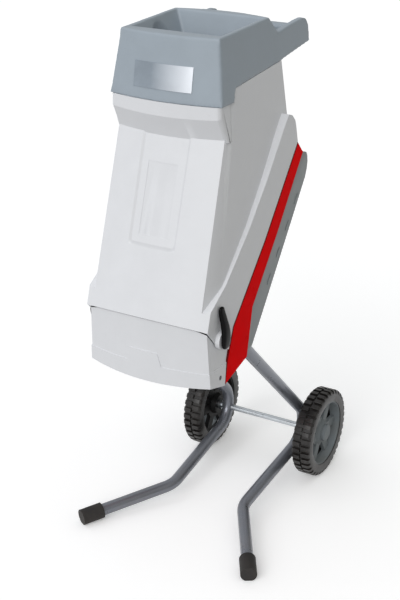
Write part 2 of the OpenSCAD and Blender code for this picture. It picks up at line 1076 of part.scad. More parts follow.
module throat_pipe(r, low, high) {
    translate([throat_x, throat.x, low])
        cylinder(r = r, h = high - low);
}

module feed_chute() {
    color("#4a4d50")
        from_axle()
            difference() {
                intersection() {
                    union() {
                        throat_pipe(throat_r + chute_wall, pipe_low, throat.y);
                        on_deck()
                            translate([-guard_in + 0.5, -150, lid_low])
                                cube([2 * guard_in - 1, 300, lid_thick]);
                    }
                    on_deck()
                        translate([-far, -far, lid_low])
                            cube(2 * far);
                }
                throat_pipe(throat_r, pipe_low - 100, rim_z);
                on_deck()
                    for (u = [-75, -35])
                        translate([counter_x + 7, u, 0])
                            cylinder(r = 2.5 + run_gap, h = 20);
            }
}

module counter_blade() {
    color("#c8ccd0")
        from_axle()
            on_deck()
                difference() {
                    translate([counter_x, -90, lid_low - 3])
                        cube([14, 70, 3]);
                    for (u = [-75, -35])
                        translate([counter_x + 7, u, 0])
                            cylinder(r = 2.5 + run_gap, h = 20);
                }
}

module counter_screws() {
    color("#6f7478")
        from_axle()
            on_deck()
                for (u = [-75, -35])
                    translate([counter_x + 7, u, lid_low + lid_thick])
                        screw(2.5, lid_thick + 3, 4.5, 3);
}

/* Safety switch on the deck, which a tongue under the lid enters when the housing is shut */
switch_at = [70, 130];

module safety_switch() {
    color("#222222")
        from_axle()
            on_deck()
                translate([switch_at.x, switch_at.y, -plate_depth])
                    difference() {
                        translate([-9, -13, 0])
                            cube([18, 26, 24]);
                        translate([-3, -10, 8])
                            cube([6, 20, 30]);
                    }
}

module safety_tongue() {
    color("#d9a400")
        from_axle()
            on_deck()
                translate([switch_at.x - 1.5, switch_at.y - 6, -8])
                    cube([3, 12, lid_low + 8]);
}

/* Upper housing */
chute_back = [-143, 762];
chute_crest = [-167, hopper_z + 33.5];
hopper_step = [[-339, hopper_z + 2], [-330, hopper_z + 21]];
chute_side = [
    [-far, flare_front.y - 2], [-400, flare_front.y - 2], chute_back,
    chute_crest, hopper_step[1], hopper_step[0], [-far, hopper_z]
];
chute_spread = (chute_low_w - chute_top_w) / 2 / (panel_top.y - panel_foot.y);
function chute_x(z) = chute_top_w / 2 + (panel_top.y - z) * chute_spread;
chute_low = 300;
chute_face = [
    [-chute_x(chute_low), chute_low], [chute_x(chute_low), chute_low],
    [chute_x(rim_z), rim_z], [-chute_x(rim_z), rim_z]
];
collar_low = panel_top.y - 4;
collar_back = panel_top.x + 30.5;
collar_side = [[-far, collar_low], [collar_back, collar_low], [collar_back, hopper_z], [-far, hopper_z]];
pocket_x = 62;
boss_r = lever_r + 2.5;
collar_pocket = [
    [-panel_reach + 4.5, hopper_z - 40], [-panel_reach + 13.5, hopper_z + 5],
    [-hopper_reach + 12, hopper_z + 5], [-hopper_reach + 12, hopper_z - 26]
];
flare_line = [[-155, 784.5], flare_top, [-182, 774], [-247, 692], [-306, 627], [-387, 553], flare_front];
flare_side = concat(
    [[fore, seam_corner.y + seam_slope * (fore - seam_corner.x)], seam_corner, seam_bend, seam_under],
    [seam_rear, deck_kink, deck_mid, deck_top, [-138, 760], [-143, 773]],
    flare_line,
    [[fore, flare_front.y]]
);
bevel_points = [[103.7, -342.7, 795], [112.6, -391.7, 554.6], [103.8, -437.1, 542.6]];

// The slanting facet between the front panel and the chute's side
module bevel_cut(depth) {
    along = bevel_points[1] - bevel_points[0];
    across = bevel_points[2] - bevel_points[0];
    both_sides()
        facing(bevel_points[0], cross(across, along), along)
            translate([-far, -far, -depth])
                cube([2 * far, 2 * far, far]);
}

module chute_form(w) {
    difference() {
        intersection() {
            side_slab(inset(chute_side, hollow(w, [true, true, false, true, true, true, true])), 2 * far);
            front_slab(inset(chute_face, hollow(w, [true, false, true, false])));
        }
        bevel_cut(w);
    }
}

module collar_form() {
    intersection() {
        side_slab(collar_side, 2 * far);
        front_slab(chute_face);
        crown([-hopper_reach, collar_z], [-hopper_reach, hopper_z]);
        crown(panel_top, [-hopper_reach, collar_z]);
    }
}

module flare_form(w) {
    edges = len(flare_side);
    open = [for (i = [0 : edges - 1]) i < 7 || i == edges - 1];
    seated = [for (i = [0 : edges - 1]) i > 3 && i < 7 ? part_gap : 0];
    side_slab(inset(flare_side, w == 0 ? seated : hollow(w, open)), body_w - 2 * w);
}

module housing_form(w, front) {
    intersection() {
        union() {
            chute_form(w);
            flare_form(w);
        }
        crown(panel_foot, panel_top, front);
    }
}

recess_low = panel_top.y - 178;
recess_high = panel_top.y + 3;
pad_floor = recess_depth + pad_depth;
pad_low = recess_low + 18;
pad_high = panel_top.y - 44;

// A shallow recess with sloping edges that follows the crowned panel
module panel_recess(half, low, high, depth, slope) {
    up = unit(panel_top - panel_foot);
    out = [-up.y, up.x];
    foot = panel_foot + up * ((low - panel_foot.y) / up.y);
    sag = crown_r - sqrt(pow(crown_r, 2) - pow(half, 2));
    difference() {
        translate([-half - slope, -far, low - 2 * slope])
            cube([2 * (half + slope), far - 300, high - low + 2 * slope]);
        crown(panel_foot, panel_top, depth);
        crown(foot, foot + up * slope - out * depth);
        both_sides()
            facing(lift(half, foot - out * sag), lift(depth, -out * slope), lift(0, up))
                translate([-far, -far, 0])
                    cube([2 * far, 2 * far, far]);
    }
}

module housing_knuckles() {
    both_sides()
        translate([77, 0, 0])
            rotate([90, 0, 90])
                linear_extrude(18)
                    union() {
                        translate(hinge)
                            circle(r = knuckle_r);
                        polygon([
                            hinge + [0, -knuckle_r],
                            hinge + [0, knuckle_r],
                            chute_back + [0, 6],
                            hinge - [18.5, 0]
                        ]);
                    }
}

module upper_housing() {
    color("#dfe1e4")
        from_axle()
            difference() {
                union() {
                    difference() {
                        union() {
                            difference() {
                                housing_form(0, 0);
                                panel_recess(recess_x, recess_low, recess_high, recess_depth, recess_slope);
                                panel_recess(pad_x, pad_low, pad_high, pad_floor, pad_depth);
                            }
                            collar_form();
                            both_sides()
                                cross_rod(lever_pivot, boss_r, body_w / 2 - 1, body_w / 2 + lever_pad);
                        }
                        housing_form(wall, front_wall);
                    }
                    housing_knuckles();
                }
                side_slab(collar_pocket, 2 * pocket_x);
                cross_rod(lever_pivot, stud_r + run_gap, -body_w, body_w);
                cross_rod(hinge, hinge_r + run_gap, -body_w, body_w);
            }
}

/* Hopper with its handle */
hopper_crest = [[-152, rim_z - 25.5], [-182, rim_z + 5.5]];
crest_sag = crown_r - sqrt(pow(crown_r, 2) - pow(rim_w / 2, 2));
mouth_z = rim_z + 65.5;
face_low = hopper_z - 146;
face_high = hopper_z + 254;
hopper_side = [
    [-far, hopper_z], hopper_step[0], hopper_step[1], chute_crest,
    hopper_crest[0] + [4, 12], hopper_crest[1] + [16, 1], [-far, rim_z - 6]
];
hopper_slope = (hopper_w - rim_w) / 2 / (rim_z - hopper_z);
function hopper_x(z) = hopper_w / 2 - (z - hopper_z) * hopper_slope;
hopper_face = [
    [-hopper_x(face_low), face_low], [hopper_x(face_low), face_low],
    [hopper_x(face_high), face_high], [-hopper_x(face_high), face_high]
];
hopper_front = [[-hopper_reach, hopper_z], [-rim_reach, rim_z]];
funnel_low = hopper_z + 22;
funnel_back = hopper_crest[1] - [rim_flat + crest_sag, 0];
funnel_front = -rim_reach + 20 + rim_flat;
funnel_side = [
    [-332, funnel_low], [-222, funnel_low], funnel_back, [funnel_back.x, mouth_z],
    [funnel_front, mouth_z], [funnel_front, rim_z]
];
funnel_x = rim_w / 2 - rim_flat;
funnel_face = [
    [-45, funnel_low], [62, funnel_low], [funnel_x, rim_z + 3], [funnel_x, mouth_z],
    [-funnel_x, mouth_z], [-funnel_x, rim_z + 3]
];
function above_hopper(pts) = [for (p = pts) p + [0, hopper_z]];
arm_side = above_hopper([
    [-190, 35.2], [-165, 34], [-55, 47], [-53, 68], [-55, 79], [-62, 86], [-75, 89], [-120, 86], [-190, 79]
]);
bar_side = above_hopper([
    [-102, 43], [-57, 48.4], [-57, 62], [-61, 69], [-69, 75], [-82, 79], [-96, 79], [-102, 75]
]);
bar_wall = 5;
bar_gaps = [for (i = [0 : 7]) i == 0 ? -8 : bar_wall];

module hopper_form(w) {
    seat = w == 0 ? seat_gap : -spare;
    intersection() {
        side_slab(inset(hopper_side, [seat, seat, seat, w, w, w, seat]), 2 * far);
        front_slab(inset(hopper_face, hollow(w, [true, false, true, false])));
        crown(hopper_front[0], hopper_front[1], w);
        crown(hopper_crest[0], hopper_crest[1], w, -1);
    }
}

module funnel_form(w) {
    intersection() {
        side_slab(inset(funnel_side, [-w, -w, -w, 0, -w, -w]), 2 * far);
        front_slab(inset(funnel_face, [-w, -w, -w, 0, -w, -w]));
    }
}

module hopper_arms() {
    intersection() {
        side_slab(arm_side, 2 * far);
        front_slab(hopper_face);
        both_sides()
            translate([arm_x, -far, 0])
                cube([far, 2 * far, 2 * far]);
    }
}

module hopper() {
    color("#9aa6ae")
        from_axle()
            difference() {
                union() {
                    difference() {
                        hopper_form(0);
                        difference() {
                            hopper_form(wall);
                            intersection() {
                                hopper_form(0);
                                union() {
                                    funnel_form(wall);
                                    throat_pipe(throat_r + chute_wall, hopper_z, funnel_low + 80);
                                }
                            }
                        }
                    }
                    hopper_arms();
                    intersection() {
                        side_slab(bar_side, 2 * arm_x + 4);
                        front_slab(hopper_face);
                    }
                }
                funnel_form(0);
                throat_pipe(throat_r, hopper_z - 20, mouth_z);
                side_slab(inset(bar_side, bar_gaps), 2 * (arm_x - bar_wall));
            }
}

module label_plate() {
    color("#c9ced2")
        from_axle()
            intersection() {
                difference() {
                    crown(hopper_front[0], hopper_front[1], -plate_thick - seat_gap);
                    crown(hopper_front[0], hopper_front[1], -seat_gap);
                }
                translate([-plate_w / 2, -far, hopper_z + plate_up - plate_h / 2])
                    cube([plate_w, far - 300, plate_h]);
            }
}

/* Lock levers */
lever_face = body_w / 2 + lever_pad + 0.3;

module lever_frame() {
    translate([lever_face, lever_pivot.x, lever_pivot.y])
        rotate([lever_lean, 0, 0])
            children();
}

// Thickness of the lever, and how near its tip comes to the flank
lever_thick = 7.5;
tip_thick = 5.5;
tip_in = body_w / 2 + 1.5 - lever_face;
stud_deep = 5;

module lever_right() {
    tip = lever_length;
    boss = lever_r + 4;
    color("#1d1d1f")
        from_axle()
            difference() {
                lever_frame()
                    union() {
                        rotate([0, 90, 0])
                            cylinder(r = lever_r, h = lever_thick);
                        intersection() {
                            rotate([90, 0, 90])
                                linear_extrude(60, center = true)
                                    polygon([
                                        [lever_r - 1, 0], [9, 24], [7, tip - 8], [4, tip],
                                        [-4, tip], [-6, tip - 8], [-8, 24], [-lever_r + 1, 0]
                                    ]);
                            rotate([90, 0, 0])
                                linear_extrude(60, center = true)
                                    polygon([
                                        [0, 0], [0, boss], [tip_in / 2, 34],
                                        [tip_in, tip - 16], [tip_in, tip],
                                        [tip_in + tip_thick - 2, tip], [tip_in + tip_thick, tip - 6],
                                        [tip_in + lever_thick, tip - 18],
                                        [tip_in / 2 + lever_thick + 1.5, 40],
                                        [lever_thick + 1, 24], [lever_thick, 8], [lever_thick, 0]
                                    ]);
                        }
                    }
                cross_rod(lever_pivot, stud_r + run_gap, 0, lever_face + stud_deep + 0.5);
            }
}

module lever_left() {
    mirror([1, 0, 0])
        lever_right();
}

module lever_stud_right() {
    color("silver")
        from_axle() {
            cross_rod(lever_pivot, stud_r, ear_in - 1, lever_face + stud_deep);
            cross_rod(lever_pivot, stud_r + 5, ear_in - 4, ear_in - 0.3);
        }
}

module lever_stud_left() {
    mirror([1, 0, 0])
        lever_stud_right();
}

/* Lower guard */
guard_low_w = 238.4;
guard_top_w = 230.6;
guard_low = [-439, 384];
guard_front = [[-457, 384], [-460.8, 488]];
band_z = 411;
band_rise = 1.2;
tab_z = 436;
arch_slope = 0.28;
guard_side = [
    deck_tip, deck_shin, seam_rear, seam_under, seam_bend, seam_corner,
    [fore, seam_corner.y + seam_slope * (fore - seam_corner.x)],
    [fore, guard_low.y + arch_slope * (fore - guard_low.x)],
    guard_low
];
guard_slope = (guard_low_w - guard_top_w) / 2 / (guard_front[1].y - guard_front[0].y);
function guard_x(z) = guard_low_w / 2 - (z - guard_low.y) * guard_slope;
guard_face = [[-guard_x(200), 200], [guard_x(200), 200], [guard_x(700), 700], [-guard_x(700), 700]];

module guard_form(skin, side_gaps) {
    intersection() {
        side_slab(inset(guard_side, side_gaps), 2 * far);
        front_slab(inset(guard_face, [skin, skin, skin, skin]));
        crown(guard_front[0], guard_front[1], skin);
    }
}

module guard_band() {
    front_slab([
        [-far, 0], [far, 0], [far, band_z - 6], [34, band_z], [27, tab_z],
        [-27, tab_z], [-34, band_z], [-far, band_z - 6]
    ]);
}

module lower_guard() {
    seam = [part_gap, part_gap, seam_gap, seam_gap, 2 * seam_gap, seam_gap];
    seated = [for (i = [0 : len(guard_side) - 1]) i < len(seam) ? seam[i] : 0];
    open = [for (p = guard_side) -spare];
    color("#d6d8db")
        from_axle()
            difference() {
                union() {
                    guard_form(band_rise, seated);
                    intersection() {
                        guard_form(0, seated);
                        guard_band();
                    }
                }
                guard_form(wall, open);
                both_sides() {
                    cross_rod(guard_screw, screw_r + 0.4, 0, body_w);
                    cross_rod(guard_screw, 4.4, guard_in + 2, body_w);
                }
            }
}

/* Switch panel on the cover's back: here z = 0 is the cover's face and minus z is outside */
panel_thick = 6;
button_size = [17, 24];
button_x = [28, 52];
reset_x = 4;
reset_r = 5;
inlet_x = -38;
inlet_r = 17;

module button_pocket(x, gap) {
    translate([x - button_size.x / 2 - gap, -button_size.y / 2 - gap, -30])
        cube([button_size.x + 2 * gap, button_size.y + 2 * gap, 60]);
}

module switch_panel() {
    color("#26282a")
        from_axle()
            on_back()
                difference() {
                    union() {
                        translate([-panel_w / 2, -panel_h / 2, -panel_thick])
                            cube([panel_w, panel_h, panel_thick - seat_gap]);
                        translate([-panel_w / 2 + 6 + seat_gap, -panel_h / 2 + 6 + seat_gap, -1])
                            cube([panel_w - 12 - 2 * seat_gap, panel_h - 12 - 2 * seat_gap, 17]);
                    }
                    translate([-panel_w / 2 + 8.5, -panel_h / 2 + 8.5, 0])
                        cube([panel_w - 17, panel_h - 17, 30]);
                    for (x = button_x)
                        button_pocket(x, 0.3);
                    translate([reset_x, 0, -20])
                        cylinder(r = reset_r + 0.3, h = 40);
                    translate([inlet_x, 0, -20])
                        cylinder(r = inlet_r + seat_gap, h = 40);
                }
}

module push_button(x) {
    from_axle()
        on_back() {
            translate([x - button_size.x / 2, -button_size.y / 2, -panel_thick - 5])
                cube([button_size.x, button_size.y, panel_thick + 6]);
            translate([x - button_size.x / 2 - 2, -button_size.y / 2 - 2, 0])
                cube([button_size.x + 4, button_size.y + 4, 2]);
        }
}

module on_button() {
    color("#2f8f3a")
        push_button(button_x[0]);
}

module off_button() {
    color("#c02020")
        push_button(button_x[1]);
}

module reset_button() {
    color("#e8e8e4")
        from_axle()
            on_back()
                translate([reset_x, 0, 0]) {
                    translate([0, 0, -panel_thick - 4])
                        cylinder(r = reset_r, h = panel_thick + 5);
                    cylinder(r = reset_r + 2, h = 2);
                }
}

block_top = 2 + button_travel + 1;

module switch_block() {
    color("#303234")
        from_axle()
            on_back()
                translate([button_x[0] - 14, -panel_h / 2 + 8.5 + seat_gap, block_top])
                    cube([panel_w / 2 - 8.5 - seat_gap - button_x[0] + 14, panel_h - 17 - 2 * seat_gap, 20]);
}

module overload_breaker() {
    color("#4a3a2a")
        from_axle()
            on_back()
                translate([reset_x - 9, -panel_h / 2 + 8.5 + seat_gap, block_top])
                    cube([18, panel_h - 17 - 2 * seat_gap, 20]);
}

module power_inlet() {
    color("#1c1c1e")
        from_axle()
            on_back()
                translate([inlet_x, 0, 0])
                    difference() {
                        union() {
                            translate([0, 0, -panel_thick - 8])
                                cylinder(r = inlet_r, h = panel_thick + 20);
                            translate([0, 0, -panel_thick - 2 - seat_gap])
                                cylinder(r = inlet_r + 3.5, h = 2);
                        }
                        translate([0, 0, -panel_thick - 9])
                            cylinder(r = inlet_r - 2, h = panel_thick + 17);
                        for (s = [-7, 7])
                            translate([s, 0, -20])
                                cylinder(r = 2 + run_gap, h = 50);
                    }
}

module inlet_pins() {
    color("#c9b27a")
        from_axle()
            on_back()
                for (s = [-7, 7])
                    translate([inlet_x + s, 0, -panel_thick])
                        cylinder(r = 2, h = panel_thick + 18);
}

cutter_deck();
motor_cover();
cover_screws();
lower_guard();
guard_screws();
frame_tube_left();
frame_tube_right();
frame_bolts();
frame_nuts();
foot_cap_left();
foot_cap_right();
axle();
axle_spacers();
wheel_clips();
hinge_pin();
motor_can();
motor_screws();
stator();
motor_bearings();
motor_brushes();
switch_panel();
switch_block();
overload_breaker();
power_inlet();
inlet_pins();
safety_switch();
motor_shaft();
armature();
commutator();
cooling_fan();
cutter_disc();
cutter_blades();
blade_screws();
disc_bolt();
upper_housing();
hopper();
feed_chute();
counter_blade();
counter_screws();
label_plate();
safety_tongue();
lever_left();
lever_right();
lever_stud_left();
lever_stud_right();
rim_left();
tyre_left();
wheel_bush_left();
hub_cap_left();
rim_right();
tyre_right();
wheel_bush_right();
hub_cap_right();
on_button();
off_button();
reset_button();
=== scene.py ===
import math
import bmesh
import bpy
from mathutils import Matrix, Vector


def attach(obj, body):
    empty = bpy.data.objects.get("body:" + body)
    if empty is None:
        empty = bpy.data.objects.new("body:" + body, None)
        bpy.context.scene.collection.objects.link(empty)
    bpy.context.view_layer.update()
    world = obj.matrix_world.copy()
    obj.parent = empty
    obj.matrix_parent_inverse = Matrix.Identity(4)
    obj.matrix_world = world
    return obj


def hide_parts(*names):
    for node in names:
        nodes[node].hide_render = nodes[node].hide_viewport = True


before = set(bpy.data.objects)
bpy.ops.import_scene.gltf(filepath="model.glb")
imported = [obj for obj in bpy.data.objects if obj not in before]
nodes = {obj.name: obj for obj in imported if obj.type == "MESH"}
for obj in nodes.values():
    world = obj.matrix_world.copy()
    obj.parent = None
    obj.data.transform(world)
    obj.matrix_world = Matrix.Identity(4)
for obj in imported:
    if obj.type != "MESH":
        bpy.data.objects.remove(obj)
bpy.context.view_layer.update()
scene = bpy.context.scene
print("frame loaded:", len(nodes), "nodes")

axleY = 0.18711  # the wheels' axle
axleZ = 0.09
sides = (("left", -1.0), ("right", 1.0))


def newGroup(name, inputs, outputs):
    group = bpy.data.node_groups.new(name, "ShaderNodeTree")
    for label, kind, value in inputs:
        socket = group.interface.new_socket(label, in_out="INPUT", socket_type=kind)
        socket.default_value = value
    for label, kind in outputs:
        group.interface.new_socket(label, in_out="OUTPUT", socket_type=kind)
    return group, group.nodes.new("NodeGroupInput"), group.nodes.new("NodeGroupOutput")


def addNode(tree, kind, **values):
    node = tree.nodes.new(kind)
    for label, value in values.items():
        node.inputs[label].default_value = value
    return node


def feed(tree, value, socket):  # a number or a colour set on the socket, or a link into it
    if isinstance(value, (int, float)):
        socket.default_value = value
    elif isinstance(value, tuple):
        socket.default_value = (*value, 1.0)
    else:
        tree.links.new(value, socket)


def mathNode(tree, operation, first, second=None, clamp=False):
    node = tree.nodes.new("ShaderNodeMath")
    node.operation = operation
    node.use_clamp = clamp
    feed(tree, first, node.inputs[0])
    if second is not None:
        feed(tree, second, node.inputs[1])
    return node.outputs[0]


def times(tree, first, second):
    return mathNode(tree, "MULTIPLY", first, second)


def spread(tree, value, low, high, toLow=0.0, toHigh=1.0):
    node = tree.nodes.new("ShaderNodeMapRange")
    tree.links.new(value, node.inputs["Value"])
    node.inputs["From Min"].default_value = low
    node.inputs["From Max"].default_value = high
    node.inputs["To Min"].default_value = toLow
    node.inputs["To Max"].default_value = toHigh
    return node.outputs["Result"]


def fading(tree, value, low, high, start=1.0):  # from its start down to nothing
    return spread(tree, value, low, high, start, 0.0)


def noiseNode(tree, vector, scale, detail, roughness=0.5):
    node = tree.nodes.new("ShaderNodeTexNoise")
    tree.links.new(vector, node.inputs["Vector"])
    feed(tree, scale, node.inputs["Scale"])
    node.inputs["Detail"].default_value = detail
    node.inputs["Roughness"].default_value = roughness
    return node.outputs["Fac"]


def stretched(tree, vector, scale, turn=(0, 0, 0)):
    node = tree.nodes.new("ShaderNodeMapping")
    tree.links.new(vector, node.inputs["Vector"])
    node.inputs["Scale"].default_value = scale
    node.inputs["Rotation"].default_value = turn
    return node.outputs["Vector"]


def splitNode(tree, vector):
    node = tree.nodes.new("ShaderNodeSeparateXYZ")
    tree.links.new(vector, node.inputs[0])
    return node.outputs


def dotNode(tree, vector, direction):
    node = tree.nodes.new("ShaderNodeVectorMath")
    node.operation = "DOT_PRODUCT"
    tree.links.new(vector, node.inputs[0])
    node.inputs[1].default_value = direction
    return node.outputs["Value"]


def mouldGrainGroup():  # fine spark-eroded grain with a slow waviness of the wall
    group, start, end = newGroup("mouldGrain",
        [("Vector", "NodeSocketVector", (0, 0, 0)), ("Grain Scale", "NodeSocketFloat", 900.0),
         ("Wave Amount", "NodeSocketFloat", 0.25)],
        [("Height", "NodeSocketFloat"), ("Mottle", "NodeSocketFloat")])
    vector = start.outputs["Vector"]
    fine = noiseNode(group, vector, start.outputs["Grain Scale"], detail=2.0, roughness=0.6)
    wave = noiseNode(group, vector, scale=9.0, detail=1.0)
    height = mathNode(group, "ADD", fine, times(group, wave, start.outputs["Wave Amount"]))
    mottle = noiseNode(group, vector, scale=22.0, detail=4.0, roughness=0.6)
    group.links.new(height, end.inputs["Height"])
    group.links.new(mottle, end.inputs["Mottle"])
    return group


# turn and scale of the scratches in each direction, and the noise levels between which they show
scuffSpec = dict(streaks=(((0.3, 0.5, 0.2), (900, 900, 12)), ((1.1, -0.4, 0.7), (14, 800, 800))),
    lineRange=(0.66, 0.72), patchScale=14.0, patchRange=(0.52, 0.68))


def scuffGroup():  # thin handling scratches in two directions, broken up into patches
    group, start, end = newGroup("scuffs",
        [("Vector", "NodeSocketVector", (0, 0, 0)), ("Amount", "NodeSocketFloat", 0.3)],
        [("Mask", "NodeSocketFloat")])
    vector = start.outputs["Vector"]
    lines = []
    for turn, scale in scuffSpec["streaks"]:
        streak = noiseNode(group, stretched(group, vector, scale, turn), scale=1.0, detail=1.0)
        lines.append(spread(group, streak, *scuffSpec["lineRange"]))
    both = mathNode(group, "MAXIMUM", lines[0], lines[1])
    cloud = noiseNode(group, vector, scuffSpec["patchScale"], detail=2.0)
    patch = spread(group, cloud, *scuffSpec["patchRange"])
    mask = times(group, times(group, both, patch), start.outputs["Amount"])
    group.links.new(mask, end.inputs["Mask"])
    return group


def dustGroup():  # garden dust that settles low down and in soft patches
    group, start, end = newGroup("gardenDust",
        [("Vector", "NodeSocketVector", (0, 0, 0)), ("Top Height", "NodeSocketFloat", 0.25),
         ("Amount", "NodeSocketFloat", 0.3)],
        [("Mask", "NodeSocketFloat")])
    vector = start.outputs["Vector"]
    climb = mathNode(group, "DIVIDE", splitNode(group, vector)["Z"], start.outputs["Top Height"])
    low = mathNode(group, "SUBTRACT", 1.0, climb, clamp=True)
    cloudRange = (0.35, 0.75)
    cloud = spread(group, noiseNode(group, vector, scale=30.0, detail=5.0, roughness=0.65), *cloudRange)
    mask = times(group, times(group, low, cloud), start.outputs["Amount"])
    group.links.new(mask, end.inputs["Mask"])
    return group


effects = {"grain": mouldGrainGroup(), "scuffs": scuffGroup(), "dust": dustGroup()}


def placeGroup(tree, effect, vector, **values):
    node = tree.nodes.new("ShaderNodeGroup")
    node.node_tree = effects[effect]
    tree.links.new(vector, node.inputs["Vector"])
    for key, value in values.items():
        node.inputs[key.replace("_", " ")].default_value = value
    return node


def tint(tree, base, other, mask):
    node = tree.nodes.new("ShaderNodeMix")
    node.data_type = "RGBA"
    first, second = [socket for socket in node.inputs if socket.type == "RGBA"]
    feed(tree, base, first)
    feed(tree, other, second)
    tree.links.new(mask, node.inputs["Factor"])
    return [socket for socket in node.outputs if socket.type == "RGBA"][0]


def shade(colour, factor):
    return tuple(min(1.0, level * factor) for level in colour)


def linear(red, green, blue):  # a colour as seen on screen, 0 to 255
    def one(level):
        level /= 255.0
        return level / 12.92 if level <= 0.04045 else ((level + 0.055) / 1.055) ** 2.4
    return one(red), one(green), one(blue)


def startMaterial(name):
    material = bpy.data.materials.new(name)
    material.use_nodes = True
    tree = material.node_tree
    shader = tree.nodes["Principled BSDF"]
    coords = tree.nodes.new("ShaderNodeTexCoord").outputs["Object"]
    return material, tree, shader, coords


def openMaterial(material):  # of a finished material: its tree, colour input, present colour and coordinates
    tree = material.node_tree
    target = tree.nodes["Principled BSDF"].inputs["Base Color"]
    return tree, target, target.links[0].from_socket, tree.nodes["Texture Coordinate"].outputs


def bumpInto(tree, shader, height, strength, distance):
    bump = tree.nodes.new("ShaderNodeBump")
    bump.inputs["Strength"].default_value = strength
    bump.inputs["Distance"].default_value = distance
    tree.links.new(height, bump.inputs["Height"])
    tree.links.new(bump.outputs["Normal"], shader.inputs["Normal"])


spotRange = (0.35, 0.7)  # levels of the mottle that become lighter and darker spots
wornRange = (0.3, 0.75)  # and smoother and rougher ones
dustColour = linear(150, 138, 118)
tyreDust = linear(120, 108, 92)


def spotted(tree, grainNode, colour, tone, limits=spotRange):
    spots = spread(tree, grainNode.outputs["Mottle"], *limits)
    return tint(tree, shade(colour, tone[0]), shade(colour, tone[1]), spots)


def unevenRough(tree, grainNode, rough, margin):
    return spread(tree, grainNode.outputs["Mottle"], *wornRange, rough - margin[0], rough + margin[1])


def dusted(tree, coords, body, amount, top, colour):
    dustNode = placeGroup(tree, "dust", coords, Amount=amount, Top_Height=top)
    return tint(tree, body, colour, dustNode.outputs["Mask"])


plasticLook = dict(scuffShade=0.72, margin=(0.05, 0.07), scuffRough=0.25, ior=1.48, bump=0.0004)


def mouldedPlastic(name, colour, rough=0.42, grain=0.25, scuff=0.35, dust=0.0, dustTop=0.25, mottle=0.06,
        gloss=0.4, coat=0.0):
    look = plasticLook
    material, tree, shader, coords = startMaterial(name)
    grainNode = placeGroup(tree, "grain", coords)
    scuffMask = placeGroup(tree, "scuffs", coords, Amount=scuff).outputs["Mask"]
    body = spotted(tree, grainNode, colour, (1.0 - mottle, 1.0 + mottle))
    body = tint(tree, body, shade(colour, look["scuffShade"]), scuffMask)
    if dust:
        body = dusted(tree, coords, body, dust, dustTop, dustColour)
    tree.links.new(body, shader.inputs["Base Color"])
    roughness = mathNode(tree, "ADD", unevenRough(tree, grainNode, rough, look["margin"]),
        times(tree, scuffMask, look["scuffRough"]))
    tree.links.new(roughness, shader.inputs["Roughness"])
    shader.inputs["IOR"].default_value = look["ior"]
    shader.inputs["Specular IOR Level"].default_value = gloss
    shader.inputs["Coat Weight"].default_value = coat
    bumpInto(tree, shader, grainNode.outputs["Height"], grain, look["bump"])
    return material


metalLook = dict(grain=1500.0, wave=0.1, scuff=0.6, tone=(0.88, 1.05), scuffShade=0.6, margin=(0.06, 0.1),
    turnedScale=(60, 60, 2400), bump=(0.15, 0.0002))


def platedMetal(name, colour, rough=0.28, turned=False, metallic=1.0):
    look = metalLook
    material, tree, shader, coords = startMaterial(name)
    grainNode = placeGroup(tree, "grain", coords, Grain_Scale=look["grain"], Wave_Amount=look["wave"])
    scuffNode = placeGroup(tree, "scuffs", coords, Amount=look["scuff"])
    body = spotted(tree, grainNode, colour, look["tone"])
    body = tint(tree, body, shade(colour, look["scuffShade"]), scuffNode.outputs["Mask"])
    tree.links.new(body, shader.inputs["Base Color"])
    shader.inputs["Metallic"].default_value = metallic
    tree.links.new(unevenRough(tree, grainNode, rough, look["margin"]), shader.inputs["Roughness"])
    height = grainNode.outputs["Height"]
    if turned:  # fine marks of the tool round the piece
        height = noiseNode(tree, stretched(tree, coords, look["turnedScale"]), scale=1.0, detail=2.0)
    bumpInto(tree, shader, height, *look["bump"])
    return material


enamelLook = dict(grain=260.0, wave=0.6, scuff=0.45, tone=(0.94, 1.05), scuffShade=0.6, margin=(0.05, 0.08),
    flakeScale=2600.0, flakeRange=(0.62, 0.75), bump=(0.08, 0.0004))


def enamel(name, colour, rough=0.22, flake=0.0, dust=0.0, dustTop=0.3, metallic=0.0, gloss=0.5):
    look = enamelLook
    material, tree, shader, coords = startMaterial(name)
    grainNode = placeGroup(tree, "grain", coords, Grain_Scale=look["grain"], Wave_Amount=look["wave"])
    scuffNode = placeGroup(tree, "scuffs", coords, Amount=look["scuff"])
    body = spotted(tree, grainNode, colour, look["tone"])
    if flake:  # bright metal flakes in the coat
        sparkle = spread(tree, noiseNode(tree, coords, look["flakeScale"], detail=0.0), *look["flakeRange"])
        body = tint(tree, body, shade(colour, 1.0 + flake), sparkle)
    body = tint(tree, body, shade(colour, look["scuffShade"]), scuffNode.outputs["Mask"])
    if dust:
        body = dusted(tree, coords, body, dust, dustTop, dustColour)
    tree.links.new(body, shader.inputs["Base Color"])
    shader.inputs["Metallic"].default_value = metallic
    tree.links.new(unevenRough(tree, grainNode, rough, look["margin"]), shader.inputs["Roughness"])
    shader.inputs["Specular IOR Level"].default_value = gloss
    bumpInto(tree, shader, grainNode.outputs["Height"], *look["bump"])
    return material


rubberLook = dict(grain=700.0, wave=0.4, tone=(0.8, 1.3), margin=(0.1, 0.1), bump=(0.35, 0.0005))


def rubber(name, colour, dust, dustTop, rough=0.72):
    look = rubberLook
    material, tree, shader, coords = startMaterial(name)
    grainNode = placeGroup(tree, "grain", coords, Grain_Scale=look["grain"], Wave_Amount=look["wave"])
    body = spotted(tree, grainNode, colour, look["tone"], wornRange)
    body = dusted(tree, coords, body, dust, dustTop, tyreDust)
    tree.links.new(body, shader.inputs["Base Color"])
    tree.links.new(unevenRough(tree, grainNode, rough, look["margin"]), shader.inputs["Roughness"])
    bumpInto(tree, shader, grainNode.outputs["Height"], *look["bump"])
    return material


